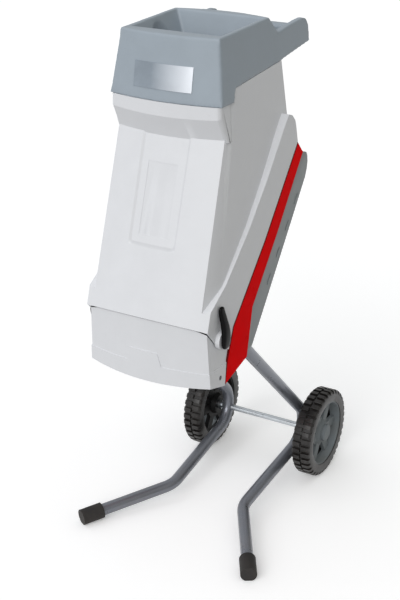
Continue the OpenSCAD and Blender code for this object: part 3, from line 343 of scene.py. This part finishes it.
# the wheel's grey plastic: another colour on its inner side, up to a distance from the machine's middle
rimSpec = dict(split=0.1236, blend=0.0004, rough=0.5, dust=0.25, dustTop=0.2, gloss=0.2)


def twoTone(name, colour, inner, split, blend, **look):
    material = mouldedPlastic(name, colour, **look)
    tree, target, base, coords = openMaterial(material)
    away = mathNode(tree, "ABSOLUTE", splitNode(tree, coords["Object"])["X"])
    mask = fading(tree, away, split - blend, split + blend)
    tree.links.new(tint(tree, base, inner, mask), target)
    return material


def paintedSheenPlate(name, dull, bright, low, high):  # bare metal with a painted sheen that brightens it from one end to the other
    material = platedMetal(name, dull, rough=0.36, metallic=0.5)
    tree, target, base, coords = openMaterial(material)
    share = spread(tree, splitNode(tree, coords["Object"])["X"], low, high)
    # painted sheen across the plate
    tree.links.new(tint(tree, base, bright, share), target)
    return material


# the edge where the deck meets the white shells, from its top to its foot (y, z), the depths from it at which the
# painted shadow line ends and the painted shade of the inside begins, and the way the cutter chamber's floor faces
deckSeam = dict(
    points=((0.0571, 0.731), (-0.0609, 0.587), (-0.1729, 0.468), (-0.1939, 0.414), (-0.2019, 0.369)),
    dark=0.0036, lineEnd=0.0048, amount=0.85, inside=-0.004, deep=0.006, fade=0.001,
    chamber=(0.0, -0.819, 0.574), floorFacing=(0.75, 0.85), wallFacing=(-0.5, -0.3),
    shadeTint=(0.02, 0.002, 0.002), shadow=(0.03, 0.03, 0.03))


def paintedSeamShade(material, seam):  # painted shadow: a dark line along the deck's edge, and painted shade on the inside
    tree, target, base, coords = openMaterial(material)
    fade = seam["fade"]
    depths = []
    for (y0, z0), (y1, z1) in zip(seam["points"], seam["points"][1:]):
        run = Vector((0.0, y0 - y1, z0 - z1)).normalized()
        inward = Vector((0.0, run.z, -run.y))
        edge = inward.dot(Vector((0.0, y0, z0)))
        depths.append(mathNode(tree, "SUBTRACT", dotNode(tree, coords["Object"], inward), edge))
    nearest = mathNode(tree, "MAXIMUM", depths[0], depths[1])  # the edge bends inwards here and outwards below
    for depth in depths[2:]:
        nearest = mathNode(tree, "MINIMUM", nearest, depth)
    # painted shadow: a dark line in the gap along the deck's edge, where the white shells meet it
    lineShadow = fading(tree, nearest, seam["dark"], seam["lineEnd"], seam["amount"])
    edged = tint(tree, base, seam["shadeTint"], lineShadow)
    # painted shade on the deck's inside: under the white shells, on the cutter chamber's floor and on its inner
    # walls
    covered = fading(tree, nearest, seam["inside"] - fade, seam["inside"])  # by the white shells
    facing = spread(tree, dotNode(tree, coords["Normal"], seam["chamber"]), *seam["floorFacing"])
    floor = times(tree, facing, spread(tree, nearest, seam["deep"], seam["deep"] + fade))
    outward = times(tree, splitNode(tree, coords["Normal"])["X"],
        mathNode(tree, "SIGN", splitNode(tree, coords["Object"])["X"]))
    wall = fading(tree, outward, *seam["wallFacing"])
    hidden = mathNode(tree, "MAXIMUM", covered, mathNode(tree, "MAXIMUM", floor, wall))
    tree.links.new(tint(tree, edged, seam["shadow"], hidden), target)
    return material


# the recess in the front panel: its outline, the width of its sloping edge, the pad in it (half width, foot, top),
# and the amounts of painted shade on the edge's sides and foot
panelRecess = dict(half=0.045, foot=0.6101, top=0.786, corner=0.008, slope=0.0046, soft=0.0012, fade=0.001,
    front=(-0.19, -0.18), middle=0.01, pad=(0.028, 0.628, 0.744), left=0.085, right=0.04, low=0.15,
    padShade=0.03, shadeTint=(0.05, 0.05, 0.05))


def paintedRecessShade(material, recess):  # painted shade on the sloping edge of the recess, and the pad a little darker
    tree, target, base, coords = openMaterial(material)
    place = splitNode(tree, coords["Object"])
    soft, corner = recess["soft"], recess["corner"]
    wide = mathNode(tree, "ABSOLUTE", place["X"])
    over = mathNode(tree, "SUBTRACT", wide, recess["half"] - corner)
    under = mathNode(tree, "SUBTRACT", recess["foot"] + corner, place["Z"])
    outX = mathNode(tree, "MAXIMUM", over, 0.0)
    outZ = mathNode(tree, "MAXIMUM", under, 0.0)
    reach = mathNode(tree, "SQRT", mathNode(tree, "ADD", times(tree, outX, outX), times(tree, outZ, outZ)))
    depth = mathNode(tree, "SUBTRACT", corner, reach)  # inwards from the rim
    ring = times(tree, spread(tree, depth, -soft, soft),
        fading(tree, depth, recess["slope"] - soft, recess["slope"] + soft))
    sideShade = spread(tree, place["X"], -recess["middle"], recess["middle"], recess["left"], recess["right"])
    lower = spread(tree, mathNode(tree, "SUBTRACT", under, over), -corner, corner)
    amount = mathNode(tree, "ADD", times(tree, sideShade, mathNode(tree, "SUBTRACT", 1.0, lower)),
        times(tree, lower, recess["low"]))
    front = times(tree, fading(tree, place["Y"], *recess["front"]),
        fading(tree, place["Z"], recess["top"], recess["top"] + recess["fade"]))
    padX, padLow, padHigh = recess["pad"]
    padRows = times(tree, spread(tree, place["Z"], padLow - soft, padLow + soft),
        fading(tree, place["Z"], padHigh - soft, padHigh + soft))
    pad = times(tree, fading(tree, wide, padX - soft, padX + soft, recess["padShade"]), padRows)
    # painted shade along the recess's sloping edge, and the pad a little darker
    mask = times(tree, front, mathNode(tree, "ADD", pad, times(tree, ring, amount)))
    tree.links.new(tint(tree, base, recess["shadeTint"], mask), target)
    return material


whiteShell = dict(colour=linear(222, 223, 226), rough=0.40, grain=0.12, scuff=0.12, mottle=0.015)

finishes = {
    "white": mouldedPlastic("satinWhite", **whiteShell),
    "whitePanel": paintedRecessShade(mouldedPlastic("panelWhite", **whiteShell), panelRecess),
    "greyBlue": mouldedPlastic("greyBlueShell", linear(156, 166, 175), rough=0.45, grain=0.3, scuff=0.25,
        mottle=0.03),
    "coverGrey": mouldedPlastic("coverGrey", linear(128, 134, 136), rough=0.48, grain=0.3, scuff=0.3),
    "red": paintedSeamShade(enamel("deckRed", (0.97, 0.002, 0.004), rough=0.3, gloss=0.005), deckSeam),
    "tube": enamel("silverTube", linear(124, 127, 135), rough=0.3, flake=0.4, dust=0.15, dustTop=0.1,
        metallic=0.6),
    "footRubber": rubber("footRubber", linear(32, 30, 30), dust=0.15, dustTop=0.06),
    "tyre": rubber("tyreRubber", linear(27, 24, 23), dust=0.06, dustTop=0.2, rough=0.36),
    "rim": twoTone("rimGrey", linear(124, 131, 135), linear(14, 14, 14), **rimSpec),
    "bush": mouldedPlastic("bushWhite", linear(205, 205, 198)),
    "zinc": platedMetal("zincPlate", linear(205, 210, 214)),
    "darkScrew": platedMetal("blackScrew", linear(70, 70, 72), rough=0.4),
    "gloss": mouldedPlastic("glossBlack", linear(12, 12, 13), rough=0.10, grain=0.02, scuff=0.12, gloss=0.07,
        coat=0.04),
    "motor": enamel("motorPaint", linear(78, 80, 84), rough=0.4),
    "steel": platedMetal("motorSteel", linear(170, 165, 158), rough=0.35),
    "copper": platedMetal("commutatorCopper", linear(190, 120, 70), rough=0.3, turned=True),
    "carbon": mouldedPlastic("brushCarbon", linear(52, 52, 52), rough=0.6),
    "fan": mouldedPlastic("fanBlack", linear(58, 58, 60)),
    "cutter": platedMetal("groundSteel", linear(190, 193, 196), rough=0.25, turned=True),
    "chute": mouldedPlastic("chuteDark", linear(86, 88, 92), rough=0.5),
    "panel": mouldedPlastic("panelBlack", linear(44, 46, 48), rough=0.4),
    "brass": platedMetal("pinBrass", linear(205, 180, 115), rough=0.2),
    "tongue": mouldedPlastic("tongueYellow", linear(214, 164, 20)),
    "green": mouldedPlastic("buttonGreen", linear(52, 140, 62), rough=0.2, gloss=0.5),
    "redButton": mouldedPlastic("buttonRed", linear(190, 36, 36), rough=0.2, gloss=0.5),
    "whiteButton": mouldedPlastic("buttonWhite", linear(228, 228, 222), rough=0.3),
    "plate": paintedSheenPlate("barePlate", linear(150, 160, 170), linear(226, 230, 236), low=-0.020, high=0.050),
}
print("finishes made:", len(finishes))


def clamped(value):
    return max(0.0, min(1.0, value))


def between(value, limits):
    return limits[0] < value < limits[1]


def addObject(name, data):
    made = bpy.data.objects.new(name, data)
    scene.collection.objects.link(made)
    return made


def dress(mesh, finish):
    mesh.materials.clear()
    mesh.materials.append(finishes[finish])


def toMesh(bm, name):
    bmesh.ops.recalc_face_normals(bm, faces=bm.faces[:])
    mesh = bpy.data.meshes.new(name)
    bm.to_mesh(mesh)
    bm.free()
    return mesh


def bakePiece(piece):
    graph = bpy.context.evaluated_depsgraph_get()
    mesh = bpy.data.meshes.new_from_object(piece.evaluated_get(graph), preserve_all_data_layers=True,
        depsgraph=graph)
    old = piece.data
    piece.modifiers.clear()
    piece.data = mesh
    if old.users == 0:
        bpy.data.meshes.remove(old)


def lineDistance(y, z, points):
    best = 1.0
    for (y0, z0), (y1, z1) in zip(points, points[1:]):
        run = Vector((y1 - y0, z1 - z0))
        share = clamped(Vector((y - y0, z - z0)).dot(run) / run.length_squared)
        best = min(best, (Vector((y, z)) - Vector((y0, z0)) - run * share).length)
    return best


# seat: the edge that stands on the collar, front to back (y, z); corners: upright front edges with a larger round
hopperSpec = dict(cell=0.0017, factor=0.5, passes=9, keep=0.0035, facet=0.4, drop=0.002,
    seat=((-0.215, 0.846), (-0.1519, 0.848), (-0.1429, 0.867), (0.0201, 0.8795), (0.1321, 0.893)),
    corners=dict(x=0.075, y=-0.16, low=0.848, high=0.945, fade=0.012, passes=36))


def smoothGroup(piece, name, factor, passes):
    smooth = piece.modifiers.new(name, "SMOOTH")
    smooth.factor = factor
    smooth.iterations = passes
    smooth.vertex_group = name


def makeHopper(spec):  # a rounded casting: the solid in fine cells, smoothed except at its seat
    piece = addObject("hopper.soft", nodes["hopper"].data.copy())
    cells = piece.modifiers.new("cells", "REMESH")
    cells.mode = "VOXEL"
    cells.voxel_size = spec["cell"]
    cells.use_smooth_shade = True
    bakePiece(piece)
    seat, keep, corners = spec["seat"], spec["keep"], spec["corners"]
    free = piece.vertex_groups.new(name="free")
    uprights = piece.vertex_groups.new(name="uprights")
    for vert in piece.data.vertices:
        near = lineDistance(vert.co.y, vert.co.z, seat)
        free.add([vert.index], clamped((near - keep) / keep), "REPLACE")
        if abs(vert.co.x) > corners["x"] and vert.co.y < corners["y"]:
            climb = min(vert.co.z - corners["low"], corners["high"] - vert.co.z) / corners["fade"]
            uprights.add([vert.index], clamped(climb), "REPLACE")
    smoothGroup(piece, "free", spec["factor"], spec["passes"])
    smoothGroup(piece, "uprights", spec["factor"], corners["passes"])
    fewer = piece.modifiers.new("fewer", "DECIMATE")
    fewer.ratio = spec["facet"]
    bakePiece(piece)
    piece.vertex_groups.clear()
    for vert in piece.data.vertices:  # closes the joint along the front of the seat
        near = lineDistance(vert.co.y, vert.co.z, seat[:2])
        vert.co.z -= spec["drop"] * clamped(1.0 - near / (2 * keep))
    dress(piece.data, "greyBlue")
    piece.data.shade_smooth()
    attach(piece, "housing")
    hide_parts("hopper")


# stations up the lever: along the arm, half width, inner and outer face out from the shell's side, lean forwards
leverSpec = dict(pivot=(-0.21989, 0.463), shell=0.1185, points=20, square=3.2, levels=2, stations=(
    (-0.0142, 0.0050, 0.0088, 0.0140, 0.0), (-0.0110, 0.0088, 0.0080, 0.0156, 0.0),
    (-0.0060, 0.0112, 0.0078, 0.0164, 0.0), (0.0040, 0.0120, 0.0078, 0.0172, 0.0),
    (0.0160, 0.0106, 0.0073, 0.0170, 0.0003), (0.0260, 0.0096, 0.0060, 0.0158, 0.0008),
    (0.0360, 0.0086, 0.0036, 0.0132, 0.0013), (0.0450, 0.0080, 0.0019, 0.0106, 0.0018),
    (0.0530, 0.0072, 0.0014, 0.0084, 0.0021), (0.0580, 0.0060, 0.0014, 0.0074, 0.0022),
    (0.0608, 0.0040, 0.0020, 0.0066, 0.0022)))


def squared(value, power):  # a cosine or sine drawn out towards a rounded square
    return math.copysign(abs(value) ** (2.0 / power), value)


def stitch(bm, loops):  # the faces between one loop of corners and the next
    for low, high in zip(loops, loops[1:]):
        for step in range(len(low)):
            after = (step + 1) % len(low)
            bm.faces.new((low[step], low[after], high[after], high[step]))


def makeLever(side, sideways):  # a curved arm from rounded sections
    spec = leverSpec
    pivotY, pivotZ = spec["pivot"]
    bm = bmesh.new()
    rings = []
    for along, half, inner, outer, lean in spec["stations"]:
        ring = []
        for step in range(spec["points"]):
            turn = 2.0 * math.pi * step / spec["points"]
            across = half * squared(math.cos(turn), spec["square"])
            out = (inner + outer) / 2 + (outer - inner) / 2 * squared(math.sin(turn), spec["square"])
            ring.append(bm.verts.new((sideways * (spec["shell"] + out), pivotY - lean + across, pivotZ + along)))
        rings.append(ring)
    stitch(bm, rings)
    bm.faces.new(rings[0])
    bm.faces.new(rings[-1])
    name = "lever_" + side + ".soft"
    piece = addObject(name, toMesh(bm, name))
    finer = piece.modifiers.new("finer", "SUBSURF")
    finer.levels = spec["levels"]
    finer.render_levels = spec["levels"]
    bakePiece(piece)
    dress(piece.data, "gloss")
    piece.data.shade_smooth()
    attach(piece, "lever_" + side + "_arm")
    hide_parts("lever_" + side)


makeHopper(hopperSpec)
for side, sideways in sides:
    makeLever(side, sideways)
print("hopper and levers made")

# for every softened copy: weld distance, angle of flat faces, and how bevels give way to crossing edges
softRules = dict(weld=2e-6, flat=0.4, crossing=0.93, share=0.45, thinnest=1e-5, segments=3, normalWeight=80)


def edgeFacts(edge):
    low, high = edge.verts[0].co, edge.verts[1].co
    return (low + high) / 2, (high - low).normalized(), (high - low).length


def isSharp(edge, least):
    return len(edge.link_faces) == 2 and edge.calc_face_angle(0.0) > math.radians(least)


def roomAt(edge):  # how far a bevel can reach before it meets a neighbouring corner
    along = edgeFacts(edge)[1]
    room = 1.0
    for vert in edge.verts:
        for other in vert.link_edges:
            if other is not edge and abs(edgeFacts(other)[1].dot(along)) < softRules["crossing"]:
                room = min(room, softRules["share"] * other.calc_length())
    return room


def softCopy(nodeName, width, finish, body, slotName, sharp=25.0, rounds=(), widths=None):
    mesh = nodes[nodeName].data.copy()
    piece = addObject(nodeName + ".soft", mesh)
    bm = bmesh.new()
    bm.from_mesh(mesh)
    bmesh.ops.remove_doubles(bm, verts=bm.verts, dist=softRules["weld"])
    bmesh.ops.dissolve_limit(bm, angle_limit=math.radians(softRules["flat"]), verts=bm.verts[:],
        edges=bm.edges[:])
    for picks, radius, steps, clamp in rounds:  # large corner rounds, one set at a time
        corners = [edge for edge in bm.edges if isSharp(edge, sharp) and picks(edge)]
        if corners:
            bmesh.ops.bevel(bm, geom=corners, offset=radius, offset_type="OFFSET", segments=steps, profile=0.5,
                affect="EDGES", clamp_overlap=clamp)
    weight = bm.edges.layers.float.new("bevel_weight_edge")
    wanted = []
    for edge in bm.edges:
        if isSharp(edge, sharp):
            wanted.append((edge, min(widths(edge, width) if widths else width, roomAt(edge))))
    widest = max([size for edge, size in wanted] + [softRules["thinnest"]])
    for edge, size in wanted:
        edge[weight] = size / widest
    for face in bm.faces:
        face.smooth = True
    bm.to_mesh(mesh)
    bm.free()
    dress(mesh, finish)
    bevel = piece.modifiers.new("softEdges", "BEVEL")
    bevel.width = widest
    bevel.segments = softRules["segments"]
    bevel.limit_method = "WEIGHT"
    bevel.use_clamp_overlap = True
    normals = piece.modifiers.new("evenNormals", "WEIGHTED_NORMAL")
    normals.keep_sharp = True
    normals.weight = softRules["normalWeight"]
    bakePiece(piece)
    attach(piece, body)
    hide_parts(nodeName)


# where the upper housing's edges get another bevel: places in metres, directions as shares of an axis
recessPlace = dict(x=(0.036, 0.047), front=-0.2, z=(0.60, 0.63), sloping=(0.3, 0.9))
collarPlace = dict(x=0.09, front=-0.14, z=(0.78, 0.85), upright=0.6, shortest=0.008)
seatPlace = dict(near=0.003, width=0.0004)


def recessCorner(edge):  # the lower corners of the recess in the front panel
    mid, along = edgeFacts(edge)[:2]
    inPlace = between(abs(mid.x), recessPlace["x"]) and between(mid.z, recessPlace["z"])
    return inPlace and mid.y < recessPlace["front"] and between(abs(along.x), recessPlace["sloping"])


def collarCorner(edge):  # the upright edges between the collar's front and its sides
    mid, along, length = edgeFacts(edge)
    inPlace = abs(mid.x) > collarPlace["x"] and between(mid.z, collarPlace["z"]) and mid.y < collarPlace["front"]
    return inPlace and abs(along.z) > collarPlace["upright"] and length > collarPlace["shortest"]


def seatedWidth(edge, width):  # a narrow bevel where the hopper seats
    mid = edgeFacts(edge)[0]
    near = lineDistance(mid.y, mid.z, hopperSpec["seat"])
    return seatPlace["width"] if near < seatPlace["near"] else width


# rounds: which edges, radius, steps, and whether the radius gives way to neighbours
softPieces = {
    "upper_housing": dict(width=0.0030, finish="whitePanel", body="housing", slotName="white_shell", sharp=15.0,
        rounds=((recessCorner, 0.008, 4, True), (collarCorner, 0.007, 5, False)), widths=seatedWidth),
    "lower_guard": dict(width=0.0014, finish="white", body="base", slotName="white_shell"),
    "cutter_deck": dict(width=0.0012, finish="red", body="base", slotName="red_deck"),
    "motor_cover": dict(width=0.0022, finish="coverGrey", body="base", slotName="grey_cover"),
    "label_plate": dict(width=0.0004, finish="plate", body="housing", slotName="label_metal"),
    "foot_cap_left": dict(width=0.0018, finish="footRubber", body="base", slotName="foot_rubber"),
    "foot_cap_right": dict(width=0.0018, finish="footRubber", body="base", slotName="foot_rubber"),
    "rim_left": dict(width=0.0012, finish="rim", body="wheel_left", slotName="rim_plastic"),
    "rim_right": dict(width=0.0012, finish="rim", body="wheel_right", slotName="rim_plastic"),
    "hub_cap_left": dict(width=0.0012, finish="rim", body="wheel_left", slotName="rim_plastic"),
    "hub_cap_right": dict(width=0.0012, finish="rim", body="wheel_right", slotName="rim_plastic"),
    "switch_panel": dict(width=0.0012, finish="panel", body="base", slotName="panel_plastic"),
    "power_inlet": dict(width=0.0006, finish="panel", body="base", slotName="panel_plastic"),
    "on_button": dict(width=0.0012, finish="green", body="on_button_cap", slotName="green_button"),
    "off_button": dict(width=0.0012, finish="redButton", body="off_button_cap", slotName="red_button"),
    "reset_button": dict(width=0.0008, finish="whiteButton", body="reset_button_cap", slotName="white_button"),
    "frame_tube_left": dict(width=0.0003, finish="tube", body="base", slotName="tube_paint"),
    "frame_tube_right": dict(width=0.0003, finish="tube", body="base", slotName="tube_paint"),
    "axle": dict(width=0.0006, finish="zinc", body="base", slotName="zinc_steel"),
}

for nodeName, spec in softPieces.items():
    softCopy(nodeName, **spec)
print("softened pieces:", len(softPieces))


def newTree(name, inputs):
    tree = bpy.data.node_groups.new(name, "GeometryNodeTree")
    tree.interface.new_socket("Geometry", in_out="INPUT", socket_type="NodeSocketGeometry")
    ids = {}
    for label, kind in inputs:
        ids[label] = tree.interface.new_socket(label, in_out="INPUT", socket_type=kind).identifier
    tree.interface.new_socket("Geometry", in_out="OUTPUT", socket_type="NodeSocketGeometry")
    return tree, ids, tree.nodes.new("NodeGroupInput"), tree.nodes.new("NodeGroupOutput")


def pieceOnLine(tree, start, end, line, turn=None):  # the piece at every point of the line, in its finish
    link = tree.links.new
    spot = tree.nodes.new("GeometryNodeInstanceOnPoints")
    link(line.outputs["Mesh"], spot.inputs["Points"])
    link(start.outputs["Geometry"], spot.inputs["Instance"])
    if turn is not None:
        link(turn, spot.inputs["Rotation"])
    real = tree.nodes.new("GeometryNodeRealizeInstances")
    link(spot.outputs[0], real.inputs[0])
    coat = tree.nodes.new("GeometryNodeSetMaterial")
    link(real.outputs[0], coat.inputs["Geometry"])
    link(start.outputs["Finish"], coat.inputs["Material"])
    link(coat.outputs[0], end.inputs["Geometry"])


def ringTree():  # turns the piece round the wheel's axle, Count times
    tree, ids, start, end = newTree("roundTheAxle",
        [("Count", "NodeSocketInt"), ("Centre", "NodeSocketVector"), ("Finish", "NodeSocketMaterial")])
    line = tree.nodes.new("GeometryNodeMeshLine")
    line.mode = "OFFSET"
    line.inputs["Offset"].default_value = (0, 0, 0)
    tree.links.new(start.outputs["Count"], line.inputs["Count"])
    tree.links.new(start.outputs["Centre"], line.inputs["Start Location"])
    index = tree.nodes.new("GeometryNodeInputIndex").outputs[0]
    share = mathNode(tree, "DIVIDE", index, start.outputs["Count"])
    turn = tree.nodes.new("ShaderNodeCombineXYZ")
    tree.links.new(times(tree, share, 2 * math.pi), turn.inputs["X"])
    pieceOnLine(tree, start, end, line, turn.outputs[0])
    return tree, ids


def rowTree():  # repeats the piece along a straight row
    tree, ids, start, end = newTree("alongTheRow",
        [("Count", "NodeSocketInt"), ("Step", "NodeSocketVector"), ("Finish", "NodeSocketMaterial")])
    line = tree.nodes.new("GeometryNodeMeshLine")
    line.mode = "OFFSET"
    tree.links.new(start.outputs["Count"], line.inputs["Count"])
    tree.links.new(start.outputs["Step"], line.inputs["Offset"])
    pieceOnLine(tree, start, end, line)
    return tree, ids


def runTree(piece, made, **values):
    tree, ids = made
    repeat = piece.modifiers.new("repeat", "NODES")
    repeat.node_group = tree
    for label, value in values.items():
        repeat[ids[label]] = value
    bakePiece(piece)


# raised grips on each side of the cover: the lowest one, the way to the next, and the rings of one grip
gripSpec = dict(count=4, place=(0.1107, -0.0269, 0.4999), step=(0.0, 0.0333, 0.0400), lean=10.3,
    rings=((1.0, 1.0, -0.0012), (1.0, 1.0, 0.0001), (0.90, 0.80, 0.0006), (0.70, 0.50, 0.0009)),
    half=(0.011, 0.0042), corners=24, crease=50)


def gripMesh(sideways):
    spec = gripSpec
    place = Vector(spec["place"])
    halfLong, halfHigh = spec["half"]
    along = Vector(spec["step"]).normalized()
    lean = math.radians(spec["lean"])
    back = Vector((0.0, along.z, -along.y))
    out = Vector((math.cos(lean), 0.0, 0.0)) + back * math.sin(lean)
    across = along.cross(out)
    bm = bmesh.new()
    loops = []
    for wide, high, rise in spec["rings"]:
        loop = []
        for step in range(spec["corners"]):
            turn = 2 * math.pi * step / spec["corners"]
            spot = (place + along * (halfLong * wide * math.cos(turn))
                + across * (halfHigh * high * math.sin(turn)) + out * rise)
            loop.append(bm.verts.new((sideways * spot.x, spot.y, spot.z)))
        loops.append(loop)
    stitch(bm, loops)
    bm.faces.new(loops[-1])
    bm.faces.new(loops[0][::-1])
    return toMesh(bm, "coverGrip")


def makeGrips(side, sideways, made):
    piece = addObject("cover_grips_" + side, gripMesh(sideways))
    runTree(piece, made, Count=gripSpec["count"], Step=gripSpec["step"], Finish=finishes["coverGrey"])
    piece.data.shade_smooth()
    piece.data.set_sharp_from_angle(angle=math.radians(gripSpec["crease"]))
    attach(piece, "base")


gripTree = rowTree()
for side, sideways in sides:
    makeGrips(side, sideways, gripTree)
print("cover grips made")

# wall: the tyre's inner side; shoulder and carcass: points as (in from the side, radius)
tyreSpec = dict(count=37, base=0.0850, outer=0.0899, width=0.040, groove=0.0012, blockShare=0.58, edge=0.0005,
    wall=0.105, sunk=0.001, slices=3, weld=1e-5, crease=32,
    shoulder=((0.0052, 0.0899), (0.0018, 0.0873), (0.0004, 0.0815), (0.0035, 0.0800)),
    carcass=((0.0015, 0.066), (0.0, 0.076), (0.0012, 0.0825), (0.0045, 0.0850)))


def ringCorners(bm, profile, angle, sideways):  # a profile of (axial, radius) at an angle round the axle
    return [bm.verts.new((sideways * axial, -radius * math.sin(angle), radius * math.cos(angle)))
        for axial, radius in profile]


def band(bm, first, second):
    total = len(first)
    return [bm.faces.new((first[i], second[i], second[(i + 1) % total], first[(i + 1) % total]))
        for i in range(total)]


def addPrism(bm, profile, angle, share, sideways):  # a closed block, as wide as its share of a turn
    first = ringCorners(bm, profile, angle - share / 2, sideways)
    second = ringCorners(bm, profile, angle + share / 2, sideways)
    return [bm.faces.new(first), bm.faces.new(second[::-1])] + band(bm, first, second)


def treadUnit(sideways):  # one step of the tyre: a slice of the carcass with a block of each row
    spec = tyreSpec
    wall, width, step = spec["wall"], spec["width"], 2 * math.pi / spec["count"]
    middle = wall + width / 2
    bm = bmesh.new()
    rows = ((middle + spec["groove"], wall + width, 0.0), (middle - spec["groove"], wall, 0.5))
    for near, far, shift in rows:
        away = 1 if far > near else -1
        profile = [(near, spec["base"] - spec["sunk"]), (near, spec["outer"])]
        profile += [(far - away * inset, radius) for inset, radius in spec["shoulder"]]
        faces = addPrism(bm, profile, shift * step, step * spec["blockShare"], sideways)
        edges = list(dict.fromkeys(edge for face in faces for edge in face.edges))
        bmesh.ops.bevel(bm, geom=edges, offset=spec["edge"], segments=1, profile=0.5, affect="EDGES",
            clamp_overlap=True)
    carcass = [(wall + inset, radius) for inset, radius in spec["carcass"]]
    carcass += [(wall + width - inset, radius) for inset, radius in reversed(spec["carcass"])]
    slices = spec["slices"]
    for k in range(slices):
        first = ringCorners(bm, carcass, k * step / slices, sideways)
        second = ringCorners(bm, carcass, (k + 1) * step / slices, sideways)
        band(bm, first, second)
    return toMesh(bm, "treadUnit")


def makeTyre(side, sideways, made):
    piece = addObject("tyre_" + side + ".tread", treadUnit(sideways))
    runTree(piece, made, Count=tyreSpec["count"], Centre=(0.0, axleY, axleZ), Finish=finishes["tyre"])
    bm = bmesh.new()
    bm.from_mesh(piece.data)
    bmesh.ops.remove_doubles(bm, verts=bm.verts, dist=tyreSpec["weld"])
    bmesh.ops.recalc_face_normals(bm, faces=bm.faces)
    bm.to_mesh(piece.data)
    bm.free()
    piece.data.shade_smooth()
    piece.data.set_sharp_from_angle(angle=math.radians(tyreSpec["crease"]))
    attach(piece, "wheel_" + side)
    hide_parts("tyre_" + side)


tyreTree = ringTree()
for side, sideways in sides:
    makeTyre(side, sideways, tyreTree)
print("tyres made")

keptFinish = {
    "zinc": ["axle_spacers", "wheel_clips", "hinge_pin", "frame_bolts", "frame_nuts", "motor_screws",
             "lever_stud_left", "lever_stud_right"],
    "darkScrew": ["cover_screws", "guard_screws"],
    "motor": ["motor_can"],
    "steel": ["stator", "armature", "motor_bearings", "motor_shaft"],
    "copper": ["commutator"],
    "carbon": ["motor_brushes"],
    "fan": ["cooling_fan"],
    "cutter": ["cutter_disc", "cutter_blades", "blade_screws", "disc_bolt", "counter_blade", "counter_screws"],
    "chute": ["feed_chute"],
    "panel": ["switch_block", "overload_breaker", "safety_switch"],
    "brass": ["inlet_pins"],
    "tongue": ["safety_tongue"],
    "bush": ["wheel_bush_left", "wheel_bush_right"],
}
for finish, names in keptFinish.items():
    for name in names:
        dress(nodes[name].data, finish)
print("kept solids dressed:", sum(len(names) for names in keptFinish.values()))

stage = dict(floorSize=30.0, floorBright=1.0, floorLift=0.20, bounce=0.4, world=1.0, sun=1.4, sunSpread=40.0,
    sunAway=3.0, sunFrom=(0.06, -0.88, 0.47), skyFrom=(-0.62, -0.40, 0.67), skyDark=(0.180, 0.168, 0.110),
    skyBright=(0.80, 0.815, 0.84))


def makeFloor():
    size = stage["floorSize"]
    mesh = bpy.data.meshes.new("studioFloor")
    mesh.from_pydata([(-size, -size, 0), (size, -size, 0), (size, size, 0), (-size, size, 0)], [], [(0, 1, 2, 3)])
    floor = addObject("studioFloor", mesh)
    material = bpy.data.materials.new("paleFloor")
    material.use_nodes = True
    tree = material.node_tree
    tree.nodes.remove(tree.nodes["Principled BSDF"])
    lit = addNode(tree, "ShaderNodeBsdfDiffuse", Color=(stage["floorBright"],) * 3 + (1,))
    lift = addNode(tree, "ShaderNodeEmission", Strength=stage["floorLift"])
    seen = tree.nodes.new("ShaderNodeAddShader")  # the backdrop's white, with the shadow kept
    tree.links.new(lit.outputs[0], seen.inputs[0])
    tree.links.new(lift.outputs[0], seen.inputs[1])
    unseen = addNode(tree, "ShaderNodeBsdfDiffuse", Color=(stage["bounce"],) * 3 + (1,))
    path = tree.nodes.new("ShaderNodeLightPath")
    looked = mathNode(tree, "MAXIMUM", path.outputs["Is Camera Ray"],
        mathNode(tree, "MAXIMUM", path.outputs["Is Glossy Ray"], path.outputs["Is Transmission Ray"]))
    mix = tree.nodes.new("ShaderNodeMixShader")
    tree.links.new(looked, mix.inputs[0])
    tree.links.new(unseen.outputs[0], mix.inputs[1])
    tree.links.new(seen.outputs[0], mix.inputs[2])
    tree.links.new(mix.outputs[0], tree.nodes["Material Output"].inputs["Surface"])
    mesh.materials.append(material)


def makeWorld():  # soft light that is stronger at the upper left front
    world = bpy.data.worlds.new("studioWorld")
    scene.world = world
    world.use_nodes = True
    tree = world.node_tree
    toward = dotNode(tree, tree.nodes.new("ShaderNodeTexCoord").outputs["Generated"], stage["skyFrom"])
    colour = tint(tree, stage["skyDark"], stage["skyBright"], spread(tree, toward, -1.0, 1.0))
    path = tree.nodes.new("ShaderNodeLightPath")
    white = (1.0 / stage["world"],) * 3  # past the floor's end
    colour = tint(tree, colour, white, path.outputs["Is Camera Ray"])
    tree.links.new(colour, tree.nodes["Background"].inputs["Color"])
    tree.nodes["Background"].inputs["Strength"].default_value = stage["world"]


def makeSun():
    direction = Vector(stage["sunFrom"])
    data = bpy.data.lights.new("keySun", "SUN")
    data.energy = stage["sun"]
    data.angle = math.radians(stage["sunSpread"])
    lamp = addObject("keySun", data)
    lamp.location = direction * stage["sunAway"]
    lamp.rotation_euler = (-direction).to_track_quat("-Z", "Y").to_euler()


# fitted to the photo: lens in millimetres, place from the axle in y, turns in degrees
cameraSpec = dict(lens=74.2, sensor=36.0, clipEnd=50.0, place=(1.0150, -2.0251, 1.3475), down=23.73, aside=30.0)


def makeCamera():
    x, y, z = cameraSpec["place"]
    data = bpy.data.cameras.new("photoCamera")
    data.lens = cameraSpec["lens"]
    data.sensor_width = cameraSpec["sensor"]
    data.clip_end = cameraSpec["clipEnd"]
    camera = addObject("photoCamera", data)
    camera.location = (x, y + axleY, z)
    camera.rotation_euler = (math.radians(90 - cameraSpec["down"]), 0.0, math.radians(cameraSpec["aside"]))
    scene.camera = camera


makeFloor()
makeWorld()
makeSun()
makeCamera()
scene.view_settings.view_transform = "Standard"
print("stage ready")
